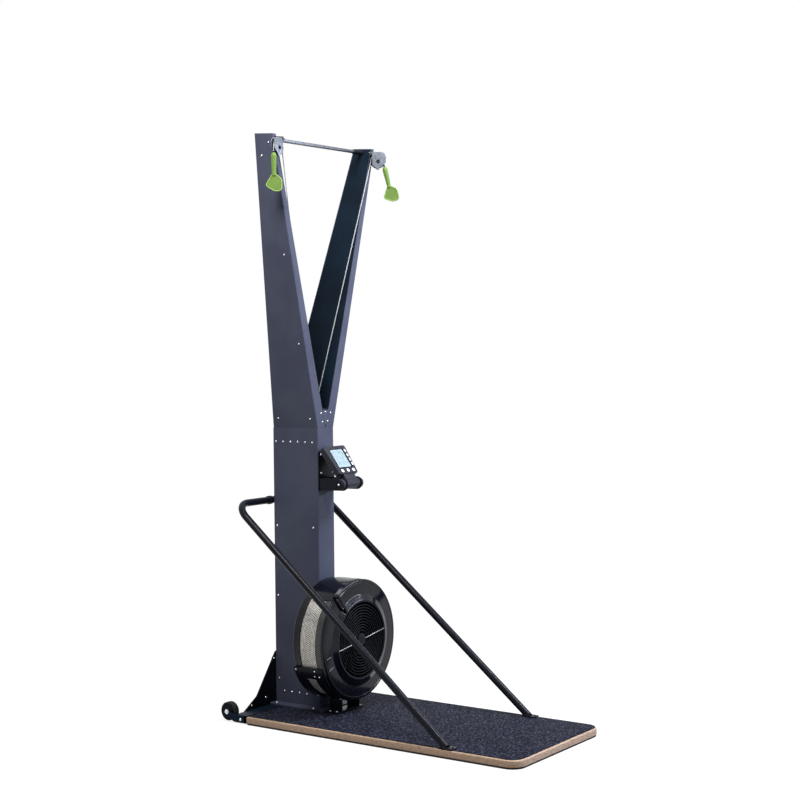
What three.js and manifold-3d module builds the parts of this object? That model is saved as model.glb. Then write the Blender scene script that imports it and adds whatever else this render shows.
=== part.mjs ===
// Ski trainer machine: a board with an upright column, two leaning arms with swivelling cord
// pulleys and handles, an air fan that brakes the cords, bent braces and a tilting monitor.
// Millimetres, +Z up, the front faces -Y. The origin is on the floor at the middle of the board.

import * as THREE from 'three';
import { mergeVertices } from 'three/addons/utils/BufferGeometryUtils.js';
import Module from 'manifold-3d';

const wasm = await Module();
wasm.setup();

// Clearances
const seat = 0.3;
const runningGap = 0.5;
const overrun = 5;
const weld = 0.0005;

// Facets
const cornerSteps = 3;
const fanSides = 32;
const tubeSides = 10;
const cordSides = 8;
const turnSides = 16;
const bendSteps = 6;
const wrapSteps = 14;
const loopSteps = 8;

// Board
const boardLength = 1144;
const frontCornerRadius = 50;
const rearCornerRadius = 4;
const sheetThickness = 6.2;
const sheetInset = 2;
const coreThickness = 23.7;
const coreEdgeRadius = 6;
const matThickness = 1.5;
const matInset = 5.5;

// Rear beam, its flared plate and the transport wheels
const beamLength = 570;
const beamInset = 3;
const beamFloorGap = 3;
const beamWall = 2.5;
const rearPlateThickness = 5;
const rearPlateTop = 226;
const rearPlateSideStep = 1.3;
const rearPlateKneeHalf = 160;
const rearPlateKneeHeight = 75;
const rearPlateFootHalf = 231;
const rearPlateFootHeight = 31;
const rearPlateBottom = 8;
const rearPlateRound = 25;
const wheelRadius = 34;
const wheelWidth = 24.5;
const wheelEdge = 5;
const wheelRimRadius = 27;
const wheelHubRadius = 12;
const wheelDish = 3;
const wheelFloorGap = 4;
const wheelSideGap = 2;
const axleRadius = 5;
const wheelPlateThickness = 4.5;
const wheelPlateEye = 13;
const wheelPlateStart = 10;
const wheelPlateDrop = 2;

// Column
const columnWidth = 96.5;
const columnDepth = 210;
const columnOverhang = 54;
const columnTop = 1069;
const sheetWall = 2.5;
const sheetBend = 4;
const footThickness = 6;
const footSideMargin = 42;
const footFrontMargin = 46;
const footCorner = 8;
const coverFlange = 25;

// Arms
const armTop = 2120;
const armSpread = 610;
const armTopWidth = 20;
const armTopDepth = 83;
const armTopForward = 14;
const armTopRise = 6;
const armSplit = 0.8;
const armBaseThickness = 3;
const tongueLength = 80;

// Throat between the arms
const guideTop = 1142;
const guideThickness = 6;
const guideHoleRadius = 5;
const throatBottom = 1080;
const throatBackingHalf = 40;
const cordEntryDepth = 59;

// Crossbar
const crossbarRadius = 6.75;
const crossbarSleeveRadius = 8.5;
const crossbarSleeveLength = 56;
const crossbarDrop = 12;
const crossbarSetback = 44;

// Cords, pulleys and their swivelling brackets
const cordRadius = 2;
const cordSideOffset = 5.4;
const pulleyDrop = 50;
const swivelStandoff = 12.5;
const pulleyCordRadius = 26;
const pulleyRadius = 27;
const pulleyHalfWidth = 5.5;
const grooveHalfMouth = 5;
const grooveHalfFloor = 2.2;
const pinRadius = 4;
const cheekGap = 0.8;
const cheekThickness = 1.5;
const cheekReach = 57;
const cheekTopHeight = 36;
const cheekNoseDrop = 3;
const cheekRound = 34;
const cheekToeReach = 27;
const cheekToeDrop = 31;
const cheekHeelReach = 4;
const cheekHeelDrop = 15;
const cheekCorner = 3;
const knuckleHeight = 10;
const knuckleFront = 12;
const knuckleBack = 6.5;
const webThickness = 2;
const webLength = 9;
const studRadius = 3;
const studHeadRadius = 4.5;
const studHeadHeight = 3;
const lugThickness = 4;
const lugEye = 6;
const mountStripWidth = 12;
const mountStripInset = 1;
const mountStripThickness = 3;
const mountStripDrop = 27;
const leftToeOut = 85;
const rightToeOut = 47;

// Handles
const handleTopDrop = 20;
const handleNoseRadius = 5;
const handleNoseHeight = 8;
const handleTopRadius = 10;
const handleEndRadius = 7.5;
const handleShaftLength = 95;
const paddleThickness = 6;
const paddleOverlap = 6;
const paddleTipReach = 39;
const paddleTipDrop = 41;
const paddleHeelReach = 23;
const paddleHeelDrop = 14;
const paddleHeight = 63;
const paddleTipRound = 9;
const paddleRound = 14;
const paddleHoleRadius = 2.2;
const paddleHoleReach = 10;
const leftHandleTurn = -55;
const rightHandleTurn = -48;
const rightHandleLean = 9;

// Fan housing
const shaftHeight = 298;
const housingDepth = 160;
const shellRadius = 220;
const shellWall = 3;
const shellDepth = 18;
const shellEdgeReach = 24;
const shellEdgeDepth = 14;
const bevelRadius = 168;
const bevelDepth = 11;
const grilleBore = 141;
const grilleSeatDepth = 7;
const damperGrooveRadius = 206;
const damperGrooveWidth = 4;
const damperRingRadius = 219;
const ringRadius = 217;
const ringDepth = 28;
const bandRadius = 214;
const bandWall = 2;
const bandWidth = 70.4;
const dishRadius = 218;
const dishFloorRadius = 185;
const dishRimDepth = 11;

// Damper lever
const leverWidth = 12;
const leverReach = 150;
const leverThickness = 4;
const leverStandoff = 1;
const leverTip = 232;
const leverAngle = 129;

// Grille
const grilleRings = 10;
const grilleHubRadius = 24;
const grilleHubDepth = 8;
const grilleRimWidth = 4;
const grilleRingWidth = 4.4;
const grilleRingDepth = 4;
const grilleSpokeWidth = 4;
const grilleSpokeAngle = 9;

// Fan wheel, shaft, bearings and cord drums
const fanBlades = 16;
const bladeSteps = 3;
const bladeInner = 60;
const bladeLead = 24;
const bladeThickness = 2.5;
const bladeDepth = 44;
const wheelDiscRadius = 198;
const wheelDiscThickness = 4;
const wheelDiscBackGap = 20;
const wheelHubOuter = 26;
const wheelHubLength = 72;
const shaftRadius = 8.5;
const shaftFrontStub = 6;
const shaftRearStub = 12;
const bearingNoseRadius = 20;
const bearingFlangeRadius = 30;
const bearingFlangeDepth = 12;
const bearingPlateThickness = 8;
const bearingPlateHalfHeight = 42;
const bearingPlateGap = 6;
const drumFlangeRadius = 38;
const drumFlangeWidth = 1.5;
const drumCordRadius = 20;
const drumCordWidth = 8;
const drumHalfGap = 2.5;
const bungeeRadius = 2.5;
const bungeeDrumRadius = 32;
const bungeeDrumWidth = 7;
const bungeeTop = 940;
const anchorFlangeRadius = 19;
const anchorFlangeWidth = 2;

// Fan cradle
const cradleThickness = 4.5;
const cradleStartAngle = 201;
const cradleSteps = 16;
const cradleFrontGap = 6;
const cradleRearGap = 2;
const cradleWindowStart = 214;
const cradleWindowEnd = 236;
const cradleWindowMargin = 9;
const cradleLegHalf = 55;
const cradleLegWall = 5;
const cradleFootHalf = 78;
const cradleFootThickness = 4;

// Braces
const braceRadius = 13.3;
const braceWall = 2;
const braceFootX = 270;
const braceFootY = 287;
const braceCornerX = 254;
const braceCornerHeight = 796;
const braceBend = 70;
const braceMiddleGap = 1;
const bracePlateWidth = 34;
const bracePlateFront = 35;
const bracePlateBack = 25;
const bracePlateThickness = 4;
const bracePlateCorner = 6;

// Monitor and its bracket
const monitorTilt = 36.3;
const pivotForward = 110;
const pivotHeight = 868;
const pivotTubeRadius = 19;
const pivotTubeLength = 120;
const knobRadius = 16.5;
const knobLength = 7;
const knobStepRadius = 8;
const knobStepLength = 2;
const bracketTop = 985;
const bracketBottom = 838;
const bracketThickness = 3;
const bracketCorner = 6;
const bracketArmThickness = 4;
const bracketArmInner = 41;
const bracketEyeRadius = 24;
const bracketArmRise = 38;
const caseRise = 31.2;
const caseHeight = 121.6;
const caseTopHalf = 64.5;
const caseBottomHalf = 52;
const caseCorner = 14;
const caseFrontReach = 21.7;
const caseDepth = 26;
const caseFrontEdge = 2.5;
const caseBackEdge = 5;
const neckHalf = 32;
const neckBottom = 6;
const neckDepth = 24;
const lcdLeft = 34;
const lcdRight = 32;
const lcdTopDrop = 18;
const lcdHeight = 76;
const lcdCorner = 3;
const lensThickness = 1.4;
const lensRecess = 2;
const buttonRadius = 5;
const buttonProud = 1.5;
const buttonDepth = 5;
const buttonEdge = 0.8;
const buttonDrop = 109;
const buttonPitch = 32.5;
const buttonShift = 1.5;
const buttonCount = 3;
const keyCount = 4;
const keyWidth = 7.5;
const keyHeight = 8;
const keyCorner = 2;
const keySide = 47.5;
const keyFirstDrop = 26;
const keyPitch = 19;
const pocketDepth = 8;

// Places that follow from the sizes above
const boardWidth = beamLength + 2 * beamInset;
const coreBottom = sheetThickness + seat;
const coreTop = coreBottom + coreThickness;
const boardTop = coreTop + seat + matThickness;
const columnRear = boardLength + columnOverhang;
const columnFront = columnRear - columnDepth;
const columnHalf = columnWidth / 2;
const columnBottom = boardTop + seat + footThickness + seat;
const armBase = columnTop + seat;
const pulleyHeight = armTop - pulleyDrop;
const fanFront = columnFront - housingDepth;
const shellRear = fanFront + shellDepth;
const ringFront = shellRear + damperGrooveWidth;
const ringRear = ringFront + ringDepth;
const bandFront = ringRear + seat;
const bandRear = bandFront + bandWidth;
const dishFront = bandRear + seat;
const dishRear = columnFront - seat;
const cordEntryY = columnFront + cordEntryDepth;
const fanCentre = new THREE.Vector3(0, 0, shaftHeight);

// Finishes
const finishes = {
  steel: new THREE.MeshStandardMaterial({ color: '#474a58', roughness: 0.6, metalness: 0.3 }),
  darkSteel: new THREE.MeshStandardMaterial({ color: '#262a33', roughness: 0.5, metalness: 0.3 }),
  black: new THREE.MeshStandardMaterial({ color: '#17181c', roughness: 0.45, metalness: 0.1 }),
  silver: new THREE.MeshStandardMaterial({ color: '#a9adb3', roughness: 0.35, metalness: 0.9 }),
  wood: new THREE.MeshStandardMaterial({ color: '#cdb09b', roughness: 0.7, metalness: 0 }),
  mat: new THREE.MeshStandardMaterial({ color: '#414455', roughness: 0.9, metalness: 0 }),
  rubber: new THREE.MeshStandardMaterial({ color: '#1a1a1d', roughness: 0.8, metalness: 0 }),
  green: new THREE.MeshStandardMaterial({ color: '#8cc04a', roughness: 0.5, metalness: 0 }),
  cord: new THREE.MeshStandardMaterial({ color: '#b4b8ba', roughness: 0.8, metalness: 0 }),
  lcd: new THREE.MeshStandardMaterial({ color: '#b7cdbd', roughness: 0.2, metalness: 0 }),
  key: new THREE.MeshStandardMaterial({ color: '#e6e8ea', roughness: 0.5, metalness: 0 }),
};

// Closed solids from three.js geometry

function solid(geometry) {
  const bare = new THREE.BufferGeometry();
  bare.setAttribute('position', geometry.getAttribute('position'));
  bare.setIndex(geometry.getIndex());
  const merged = mergeVertices(bare, weld);
  const index = merged.getIndex().array;
  const faces = [];
  for (let k = 0; k < index.length; k += 3) {
    const [a, b, c] = index.slice(k, k + 3);
    if (a !== b && b !== c && c !== a) faces.push(a, b, c);
  }
  const vertProperties = new Float32Array(merged.getAttribute('position').array);
  const triVerts = new Uint32Array(faces);
  return new wasm.Manifold(new wasm.Mesh({ numProp: 3, vertProperties, triVerts }));
}

function geometryOf(manifold) {
  const mesh = manifold.getMesh();
  const geometry = new THREE.BufferGeometry();
  geometry.setAttribute('position', new THREE.BufferAttribute(mesh.vertProperties, mesh.numProp));
  geometry.setIndex(new THREE.BufferAttribute(mesh.triVerts, 1));
  return geometry;
}

function join(...bodies) {
  return bodies.reduce((sum, body) => sum.add(body));
}

function cut(body, ...tools) {
  return tools.reduce((rest, tool) => rest.subtract(tool), body);
}

const vector = (x, y, z) => new THREE.Vector3(x, y, z);
const radians = THREE.MathUtils.degToRad;
const lerp = THREE.MathUtils.lerp;

// The corner radius of a bore with this many sides whose flats stay outside the given radius
function boreRadius(radius, sides) {
  return radius / Math.cos(Math.PI / sides);
}

function block([x0, x1], [y0, y1], [z0, z1]) {
  const geometry = new THREE.BoxGeometry(Math.abs(x1 - x0), Math.abs(y1 - y0), Math.abs(z1 - z0));
  geometry.translate((x0 + x1) / 2, (y0 + y1) / 2, (z0 + z1) / 2);
  return solid(geometry);
}

// An outline whose corners are [across, up, radius]
function rounded(corners) {
  const count = corners.length;
  return corners.flatMap(([x, y, radius = 0], k) => {
    const here = new THREE.Vector2(x, y);
    if (radius <= 0) return [here];
    const [before, after] = [corners[(k + count - 1) % count], corners[(k + 1) % count]];
    const toBefore = new THREE.Vector2(before[0], before[1]).sub(here);
    const toAfter = new THREE.Vector2(after[0], after[1]).sub(here);
    const room = Math.min(toBefore.length(), toAfter.length()) / 2;
    toBefore.normalize();
    toAfter.normalize();
    const half = Math.acos(toBefore.dot(toAfter)) / 2;
    const reach = Math.min(radius / Math.tan(half), room);
    const fitted = reach * Math.tan(half);
    const middle = toBefore.clone().add(toAfter).normalize();
    const centre = here.clone().addScaledVector(middle, fitted / Math.sin(half));
    const first = here.clone().addScaledVector(toBefore, reach).sub(centre);
    const last = here.clone().addScaledVector(toAfter, reach).sub(centre);
    const sweep = Math.atan2(first.cross(last), first.dot(last));
    return Array.from({ length: cornerSteps + 1 }, (_, step) => {
      const turned = first.clone().rotateAround(new THREE.Vector2(), (sweep * step) / cornerSteps);
      return turned.add(centre);
    });
  });
}

// Planes for flat work: where a point [across, up, along] of an outline lies in the machine
const flatZ = new THREE.Matrix4();
const flatY = new THREE.Matrix4().makeBasis(vector(1, 0, 0), vector(0, 0, 1), vector(0, 1, 0));
const flatX = new THREE.Matrix4().makeBasis(vector(0, 1, 0), vector(0, 0, 1), vector(1, 0, 0));

function plate(outline, plane, [low, high]) {
  const geometry = new THREE.ExtrudeGeometry(new THREE.Shape(outline), {
    depth: high - low,
    bevelEnabled: false,
  });
  geometry.translate(0, 0, low);
  geometry.applyMatrix4(plane);
  return outward(geometry);
}

// A body through rings of equally many points, closed by flat ends
function loft(rings) {
  const count = rings[0].length;
  const positions = rings.flat().flatMap((point) => point.toArray());
  const faces = [];
  for (let ring = 0; ring < rings.length - 1; ring += 1) {
    for (let k = 0; k < count; k += 1) {
      const a = ring * count + k;
      const b = ring * count + ((k + 1) % count);
      faces.push(a, b, b + count, a, b + count, a + count);
    }
  }
  const last = (rings.length - 1) * count;
  for (const [a, b, c] of endFaces(rings[0])) faces.push(a, c, b);
  for (const [a, b, c] of endFaces(rings[rings.length - 1])) faces.push(last + a, last + b, last + c);
  const geometry = new THREE.BufferGeometry();
  geometry.setAttribute('position', new THREE.Float32BufferAttribute(positions, 3));
  geometry.setIndex(faces);
  return outward(geometry);
}

// The triangles of a flat ring, wound as the ring is
function endFaces(ring) {
  const normal = vector(0, 0, 0);
  ring.forEach((point, k) => {
    normal.add(point.clone().cross(ring[(k + 1) % ring.length]));
  });
  normal.normalize();
  const across = ring[1].clone().sub(ring[0]).normalize();
  const up = normal.clone().cross(across);
  const flat = ring.map((point) => new THREE.Vector2(point.dot(across), point.dot(up)));
  return THREE.ShapeUtils.triangulateShape(flat, []);
}

// Turns a body's faces out where its rings or its plane ran the other way
function outward(geometry) {
  const points = geometry.getAttribute('position');
  const index = geometry.getIndex();
  const count = index ? index.count : points.count;
  const corner = (k) => vector(0, 0, 0).fromBufferAttribute(points, index ? index.getX(k) : k);
  const order = [];
  let volume = 0;
  for (let k = 0; k < count; k += 3) {
    volume += corner(k).dot(corner(k + 1).cross(corner(k + 2)));
    const ids = [k, k + 1, k + 2].map((id) => (index ? index.getX(id) : id));
    order.push(ids);
  }
  const faces = volume < 0 ? order.map(([a, b, c]) => [a, c, b]) : order;
  geometry.setIndex(faces.flat());
  return solid(geometry);
}

const turnMatrices = {
  x: new THREE.Matrix4().makeRotationZ(-Math.PI / 2),
  y: new THREE.Matrix4(),
  z: new THREE.Matrix4().makeRotationX(Math.PI / 2),
};

// A turned body: the profile lists [radius, place along the axis]
function turned(profile, sides, axis, centre = vector(0, 0, 0)) {
  const points = profile.map(([radius, along]) => new THREE.Vector2(radius, along));
  const onAxis = points[0].x === 0 && points[points.length - 1].x === 0;
  if (!onAxis) points.push(points[0].clone());
  const geometry = new THREE.LatheGeometry(points, sides);
  geometry.applyMatrix4(turnMatrices[axis]);
  geometry.translate(centre.x, centre.y, centre.z);
  return outward(geometry);
}

function rod(radius, [low, high], axis, centre, sides = turnSides) {
  return turned([[0, low], [radius, low], [radius, high], [0, high]], sides, axis, centre);
}

// A path through chosen points, one step from each to the next
class Route extends THREE.Curve {
  constructor(points) {
    super();
    this.points = points;
  }

  getPoint(share, target = new THREE.Vector3()) {
    const place = share * (this.points.length - 1);
    const k = Math.min(Math.floor(place), this.points.length - 2);
    return target.lerpVectors(this.points[k], this.points[k + 1], place - k);
  }

  getPointAt(share, target) {
    return this.getPoint(share, target);
  }

  getTangentAt(share, target) {
    return this.getTangent(share, target);
  }
}

function circle(radius, sides) {
  return Array.from({ length: sides }, (_, k) => {
    const angle = (k / sides) * Math.PI * 2;
    return new THREE.Vector2(radius * Math.cos(angle), radius * Math.sin(angle));
  });
}

function tube(points, radius, sides, bore = 0) {
  const section = new THREE.Shape(circle(radius, sides));
  if (bore > 0) section.holes.push(new THREE.Path(circle(bore, sides)));
  const extrudePath = new Route(points);
  const geometry = new THREE.ExtrudeGeometry(section, { steps: points.length - 1, extrudePath });
  return outward(geometry);
}

// The points of a bend of this radius at the middle one of three points
function bend(before, corner, after, radius) {
  const toBefore = before.clone().sub(corner).normalize();
  const toAfter = after.clone().sub(corner).normalize();
  const half = toBefore.angleTo(toAfter) / 2;
  const reach = radius / Math.tan(half);
  const middle = toBefore.clone().add(toAfter).normalize();
  const centre = corner.clone().addScaledVector(middle, radius / Math.sin(half));
  const first = corner.clone().addScaledVector(toBefore, reach).sub(centre);
  const last = corner.clone().addScaledVector(toAfter, reach).sub(centre);
  const axis = first.clone().cross(last).normalize();
  const sweep = first.angleTo(last);
  return Array.from({ length: bendSteps + 1 }, (_, step) => {
    return first.clone().applyAxisAngle(axis, (sweep * step) / bendSteps).add(centre);
  });
}

// The scene graph

const machine = new THREE.Group();
machine.position.y = -boardLength / 2;

function add(name, body, finish, parent = machine) {
  const mesh = new THREE.Mesh(geometryOf(body), finish.clone());
  mesh.name = name;
  parent.add(mesh);
  return mesh;
}

const sides = [
  { name: 'left', sign: -1, toeOut: leftToeOut, handleTurn: leftHandleTurn, lean: 0 },
  { name: 'right', sign: 1, toeOut: rightToeOut, handleTurn: rightHandleTurn, lean: rightHandleLean },
];

// Board

function boardOutline(inset) {
  const half = boardWidth / 2 - inset;
  const front = frontCornerRadius - inset;
  return rounded([
    [-half, inset, front],
    [half, inset, front],
    [half, boardLength - inset, rearCornerRadius],
    [-half, boardLength - inset, rearCornerRadius],
  ]);
}

function boardRing(inset, height) {
  return boardOutline(inset).map((point) => vector(point.x, point.y, height));
}

function makeBoard() {
  add('base_sheet', plate(boardOutline(sheetInset), flatZ, [0, sheetThickness]), finishes.black);
  const rings = [boardRing(0, coreBottom)];
  for (let step = 0; step <= cornerSteps; step += 1) {
    const angle = (step / cornerSteps) * (Math.PI / 2);
    const inset = coreEdgeRadius * (1 - Math.cos(angle));
    rings.push(boardRing(inset, coreTop - coreEdgeRadius + coreEdgeRadius * Math.sin(angle)));
  }
  add('board_core', loft(rings), finishes.wood);
  add('grip_mat', plate(boardOutline(matInset), flatZ, [coreTop + seat, boardTop]), finishes.mat);
}

// Rear beam, flared plate and wheels

function makeRear() {
  const beamFront = boardLength + seat;
  const outer = [[-beamLength / 2, beamLength / 2], [beamFront, columnRear], [beamFloorGap, boardTop]];
  const inner = [
    [-beamLength / 2 - overrun, beamLength / 2 + overrun],
    [beamFront + beamWall, columnRear - beamWall],
    [beamFloorGap + beamWall, boardTop - beamWall],
  ];
  add('rear_beam', cut(block(...outer), block(...inner)), finishes.darkSteel);

  const topHalf = columnHalf + rearPlateSideStep;
  const halfOutline = [
    [rearPlateFootHalf, rearPlateBottom, rearPlateThickness],
    [rearPlateFootHalf, rearPlateFootHeight, rearPlateThickness],
    [rearPlateKneeHalf, rearPlateKneeHeight, rearPlateRound],
    [topHalf, rearPlateTop, rearPlateThickness],
  ];
  const otherHalf = halfOutline.map(([x, z, radius]) => [-x, z, radius]).reverse();
  const rearPlateFront = columnRear + seat;
  const outline = rounded([...halfOutline, ...otherHalf]);
  const body = plate(outline, flatY, [rearPlateFront, rearPlateFront + rearPlateThickness]);
  add('rear_plate', body, finishes.black);

  const axleY = columnRear + wheelSideGap + wheelRadius;
  const axleZ = wheelFloorGap + wheelRadius;
  const plateInner = beamLength / 2 + seat;
  const wheelOuter = plateInner - wheelSideGap;
  const wheelInner = wheelOuter - wheelWidth;
  for (const { name, sign } of sides) {
    const centre = vector(0, axleY, axleZ);
    const outline = rounded([
      [boardLength + wheelPlateStart, beamFloorGap + wheelPlateDrop, wheelPlateDrop],
      [columnRear, beamFloorGap + wheelPlateDrop, wheelPlateEye],
      [axleY + wheelPlateEye, axleZ - wheelPlateEye, wheelPlateEye],
      [axleY + wheelPlateEye, axleZ + wheelPlateEye, wheelPlateEye],
      [columnRear, boardTop - wheelPlateDrop, wheelPlateEye],
      [boardLength + wheelPlateStart, boardTop - wheelPlateDrop, wheelPlateDrop],
    ]);
    const span = [sign * plateInner, sign * (plateInner + wheelPlateThickness)].sort((a, b) => a - b);
    const pin = [sign * (wheelInner - wheelSideGap), sign * (plateInner + wheelPlateThickness / 2)];
    const axle = rod(axleRadius, pin, 'x', centre, tubeSides);
    add(`wheel_bracket_${name}`, join(plate(outline, flatX, span), axle), finishes.darkSteel);

    const bore = boreRadius(axleRadius + seat, turnSides);
    const tread = [
      [bore, 0],
      [wheelHubRadius, 0],
      [wheelHubRadius, wheelDish],
      [wheelRimRadius, wheelDish],
      [wheelRimRadius, 0],
      [wheelRadius - wheelEdge, 0],
      [wheelRadius, wheelEdge],
    ];
    const mirrored = tread.map(([radius, along]) => [radius, wheelWidth - along]).reverse();
    const profile = [...tread, ...mirrored].map(([radius, along]) => [
      radius,
      sign * (wheelInner + along),
    ]);
    add(`wheel_${name}`, turned(profile, turnSides, 'x', centre), finishes.rubber);
  }
}

// Column

function makeColumn() {
  const footHalf = columnHalf + footSideMargin;
  const footOutline = rounded([
    [-footHalf, columnFront - footFrontMargin, footCorner],
    [footHalf, columnFront - footFrontMargin, footCorner],
    [footHalf, columnRear, footCorner],
    [-footHalf, columnRear, footCorner],
  ]);
  const footSpan = [boardTop + seat, boardTop + seat + footThickness];
  add('column_foot', plate(footOutline, flatZ, footSpan), finishes.steel);

  const innerHalf = columnHalf - sheetWall;
  const channel = rounded([
    [-columnHalf, columnRear],
    [-columnHalf, columnFront, sheetBend],
    [columnHalf, columnFront, sheetBend],
    [columnHalf, columnRear],
    [innerHalf, columnRear],
    [innerHalf, columnFront + sheetWall, sheetBend - sheetWall],
    [-innerHalf, columnFront + sheetWall, sheetBend - sheetWall],
    [-innerHalf, columnRear],
  ]);
  const height = [columnBottom, columnTop];
  const noseHole = boreRadius(bearingNoseRadius + seat, turnSides);
  const hole = rod(noseHole, [columnFront - overrun, columnFront + overrun], 'y', fanCentre);
  add('column_shell', cut(plate(channel, flatZ, height), hole), finishes.steel);

  const coverHalf = innerHalf - seat;
  const cover = rounded([
    [-coverHalf, columnRear - coverFlange],
    [-coverHalf, columnRear, sheetBend],
    [coverHalf, columnRear, sheetBend],
    [coverHalf, columnRear - coverFlange],
    [coverHalf - sheetWall, columnRear - coverFlange],
    [coverHalf - sheetWall, columnRear - sheetWall],
    [sheetWall - coverHalf, columnRear - sheetWall],
    [sheetWall - coverHalf, columnRear - coverFlange],
  ]);
  add('column_rear_cover', plate(cover, flatZ, height), finishes.steel);
}

// Arms

function armAt(height) {
  const share = (height - armBase) / (armTop - armBase);
  const front = lerp(columnFront, columnFront - armTopForward, share);
  return {
    outer: lerp(columnHalf, armSpread / 2, share),
    inner: lerp(armSplit / 2, armSpread / 2 - armTopWidth, share),
    front,
    rear: lerp(columnRear, columnFront - armTopForward + armTopDepth, share),
  };
}

// The arm's slanted top, lowered by a depth
function armCeiling(y, depth) {
  const { front, rear } = armAt(armTop);
  return armTop - depth + armTopRise * ((y - front) / (rear - front));
}

function armRing(sign, corners, height) {
  return rounded(corners).map((point) => vector(sign * point.x, point.y, height(point.y)));
}

function armSection(height, wall, mouth, round) {
  const { outer, inner, front, rear } = armAt(height);
  return [
    [inner - mouth, front + wall],
    [outer - wall, front + wall, round],
    [outer - wall, rear - wall, round],
    [inner - mouth, rear - wall],
  ];
}

function makeArms() {
  for (const { name, sign } of sides) {
    const shell = loft([
      armRing(sign, armSection(armBase, 0, 0, sheetBend), () => armBase),
      armRing(sign, armSection(armTop, 0, 0, sheetBend), (y) => armCeiling(y, 0)),
    ]);
    const cavityBase = armBase + armBaseThickness;
    const inside = sheetBend - sheetWall;
    const cavity = loft([
      armRing(sign, armSection(cavityBase, sheetWall, overrun, inside), () => cavityBase),
      armRing(sign, armSection(armTop, sheetWall, overrun, inside), (y) => armCeiling(y, sheetWall)),
    ]);
    const tongueOuter = columnHalf - sheetWall - seat;
    const tongueFront = columnFront + sheetWall + seat;
    const tongueRear = columnRear - coverFlange - seat;
    const tongueBottom = armBase - tongueLength;
    const tongueOutline = rounded([
      [sign * (armSplit / 2), tongueFront],
      [sign * tongueOuter, tongueFront, sheetBend],
      [sign * tongueOuter, tongueRear, sheetBend],
      [sign * (armSplit / 2), tongueRear],
    ]);
    const tongue = plate(tongueOutline, flatZ, [tongueBottom, cavityBase]);
    const tongueCavity = block(
      [sign * (armSplit / 2 - overrun), sign * (tongueOuter - sheetWall)],
      [tongueFront + sheetWall, tongueRear - sheetWall],
      [tongueBottom - overrun, cavityBase + overrun],
    );
    add(`arm_${name}`, cut(join(cut(shell, cavity), tongue), tongueCavity), finishes.steel);

    const coverBase = guideTop + seat;
    const coverSection = (height) => {
      const { inner, front, rear } = armAt(height);
      const edge = sheetWall + seat;
      return [
        [inner, front + edge],
        [inner + sheetWall, front + edge],
        [inner + sheetWall, rear - edge],
        [inner, rear - edge],
      ];
    };
    const cover = loft([
      armRing(sign, coverSection(coverBase), () => coverBase),
      armRing(sign, coverSection(armTop), (y) => armCeiling(y, sheetWall + seat)),
    ]);
    add(`arm_cover_${name}`, cover, finishes.darkSteel);
  }
}

function makeThroat() {
  const guideBottom = guideTop - guideThickness;
  const throatTop = guideBottom - seat;
  const insertHalf = (height) => armAt(height).inner - seat;
  const insert = [
    [-insertHalf(throatBottom), throatBottom],
    [insertHalf(throatBottom), throatBottom],
    [insertHalf(throatTop), throatTop],
    [-insertHalf(throatTop), throatTop],
  ];
  const backingFront = armAt(throatBottom).front + sheetWall + seat;
  const backingRear = backingFront + sheetWall;
  const insertBody = plate(rounded(insert), flatY, [armAt(throatTop).front, backingRear]);
  const backing = block(
    [-throatBackingHalf, throatBackingHalf],
    [backingFront, backingRear],
    [throatBottom, throatTop],
  );
  add('throat_plate', join(insertBody, backing), finishes.steel);

  const low = armAt(guideBottom);
  const guideHalf = low.outer - sheetWall - seat;
  const guideFront = low.front + sheetWall + seat;
  const guideRear = armAt(guideTop).rear - sheetWall - seat;
  const guide = plate(rounded([
    [-guideHalf, guideFront, sheetBend],
    [guideHalf, guideFront, sheetBend],
    [guideHalf, guideRear, sheetBend],
    [-guideHalf, guideRear, sheetBend],
  ]), flatZ, [guideBottom, guideTop]);
  const holes = sides.map(({ sign }) => {
    const centre = vector(sign * cordGuideX(), cordEntryY, 0);
    return rod(guideHoleRadius, [guideBottom - overrun, guideTop + overrun], 'z', centre, tubeSides);
  });
  add('cord_guide', cut(guide, ...holes), finishes.black);
}

function makeCrossbar() {
  const height = armTop - crossbarDrop;
  const y = columnFront - armTopForward + crossbarSetback;
  const end = (z) => armAt(z).inner - seat;
  const sleeveEnd = end(height) - crossbarSleeveLength;
  const ring = (radius, place) => circle(radius, tubeSides).map((point) => {
    const z = height + point.y;
    return vector(place(z), y + point.x, z);
  });
  const bar = loft([
    ring(crossbarSleeveRadius, (z) => -end(z)),
    ring(crossbarSleeveRadius, () => -sleeveEnd),
    ring(crossbarRadius, () => -sleeveEnd),
    ring(crossbarRadius, () => sleeveEnd),
    ring(crossbarSleeveRadius, () => sleeveEnd),
    ring(crossbarSleeveRadius, (z) => end(z)),
  ]);
  add('crossbar', bar, finishes.silver);
}

// Pulleys, cords and handles

function swivelPlace() {
  const { inner, front } = armAt(pulleyHeight);
  return { x: inner - cordSideOffset, y: front - swivelStandoff };
}

function cordGuideX() {
  return armAt(guideTop).inner - cordSideOffset;
}

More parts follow.
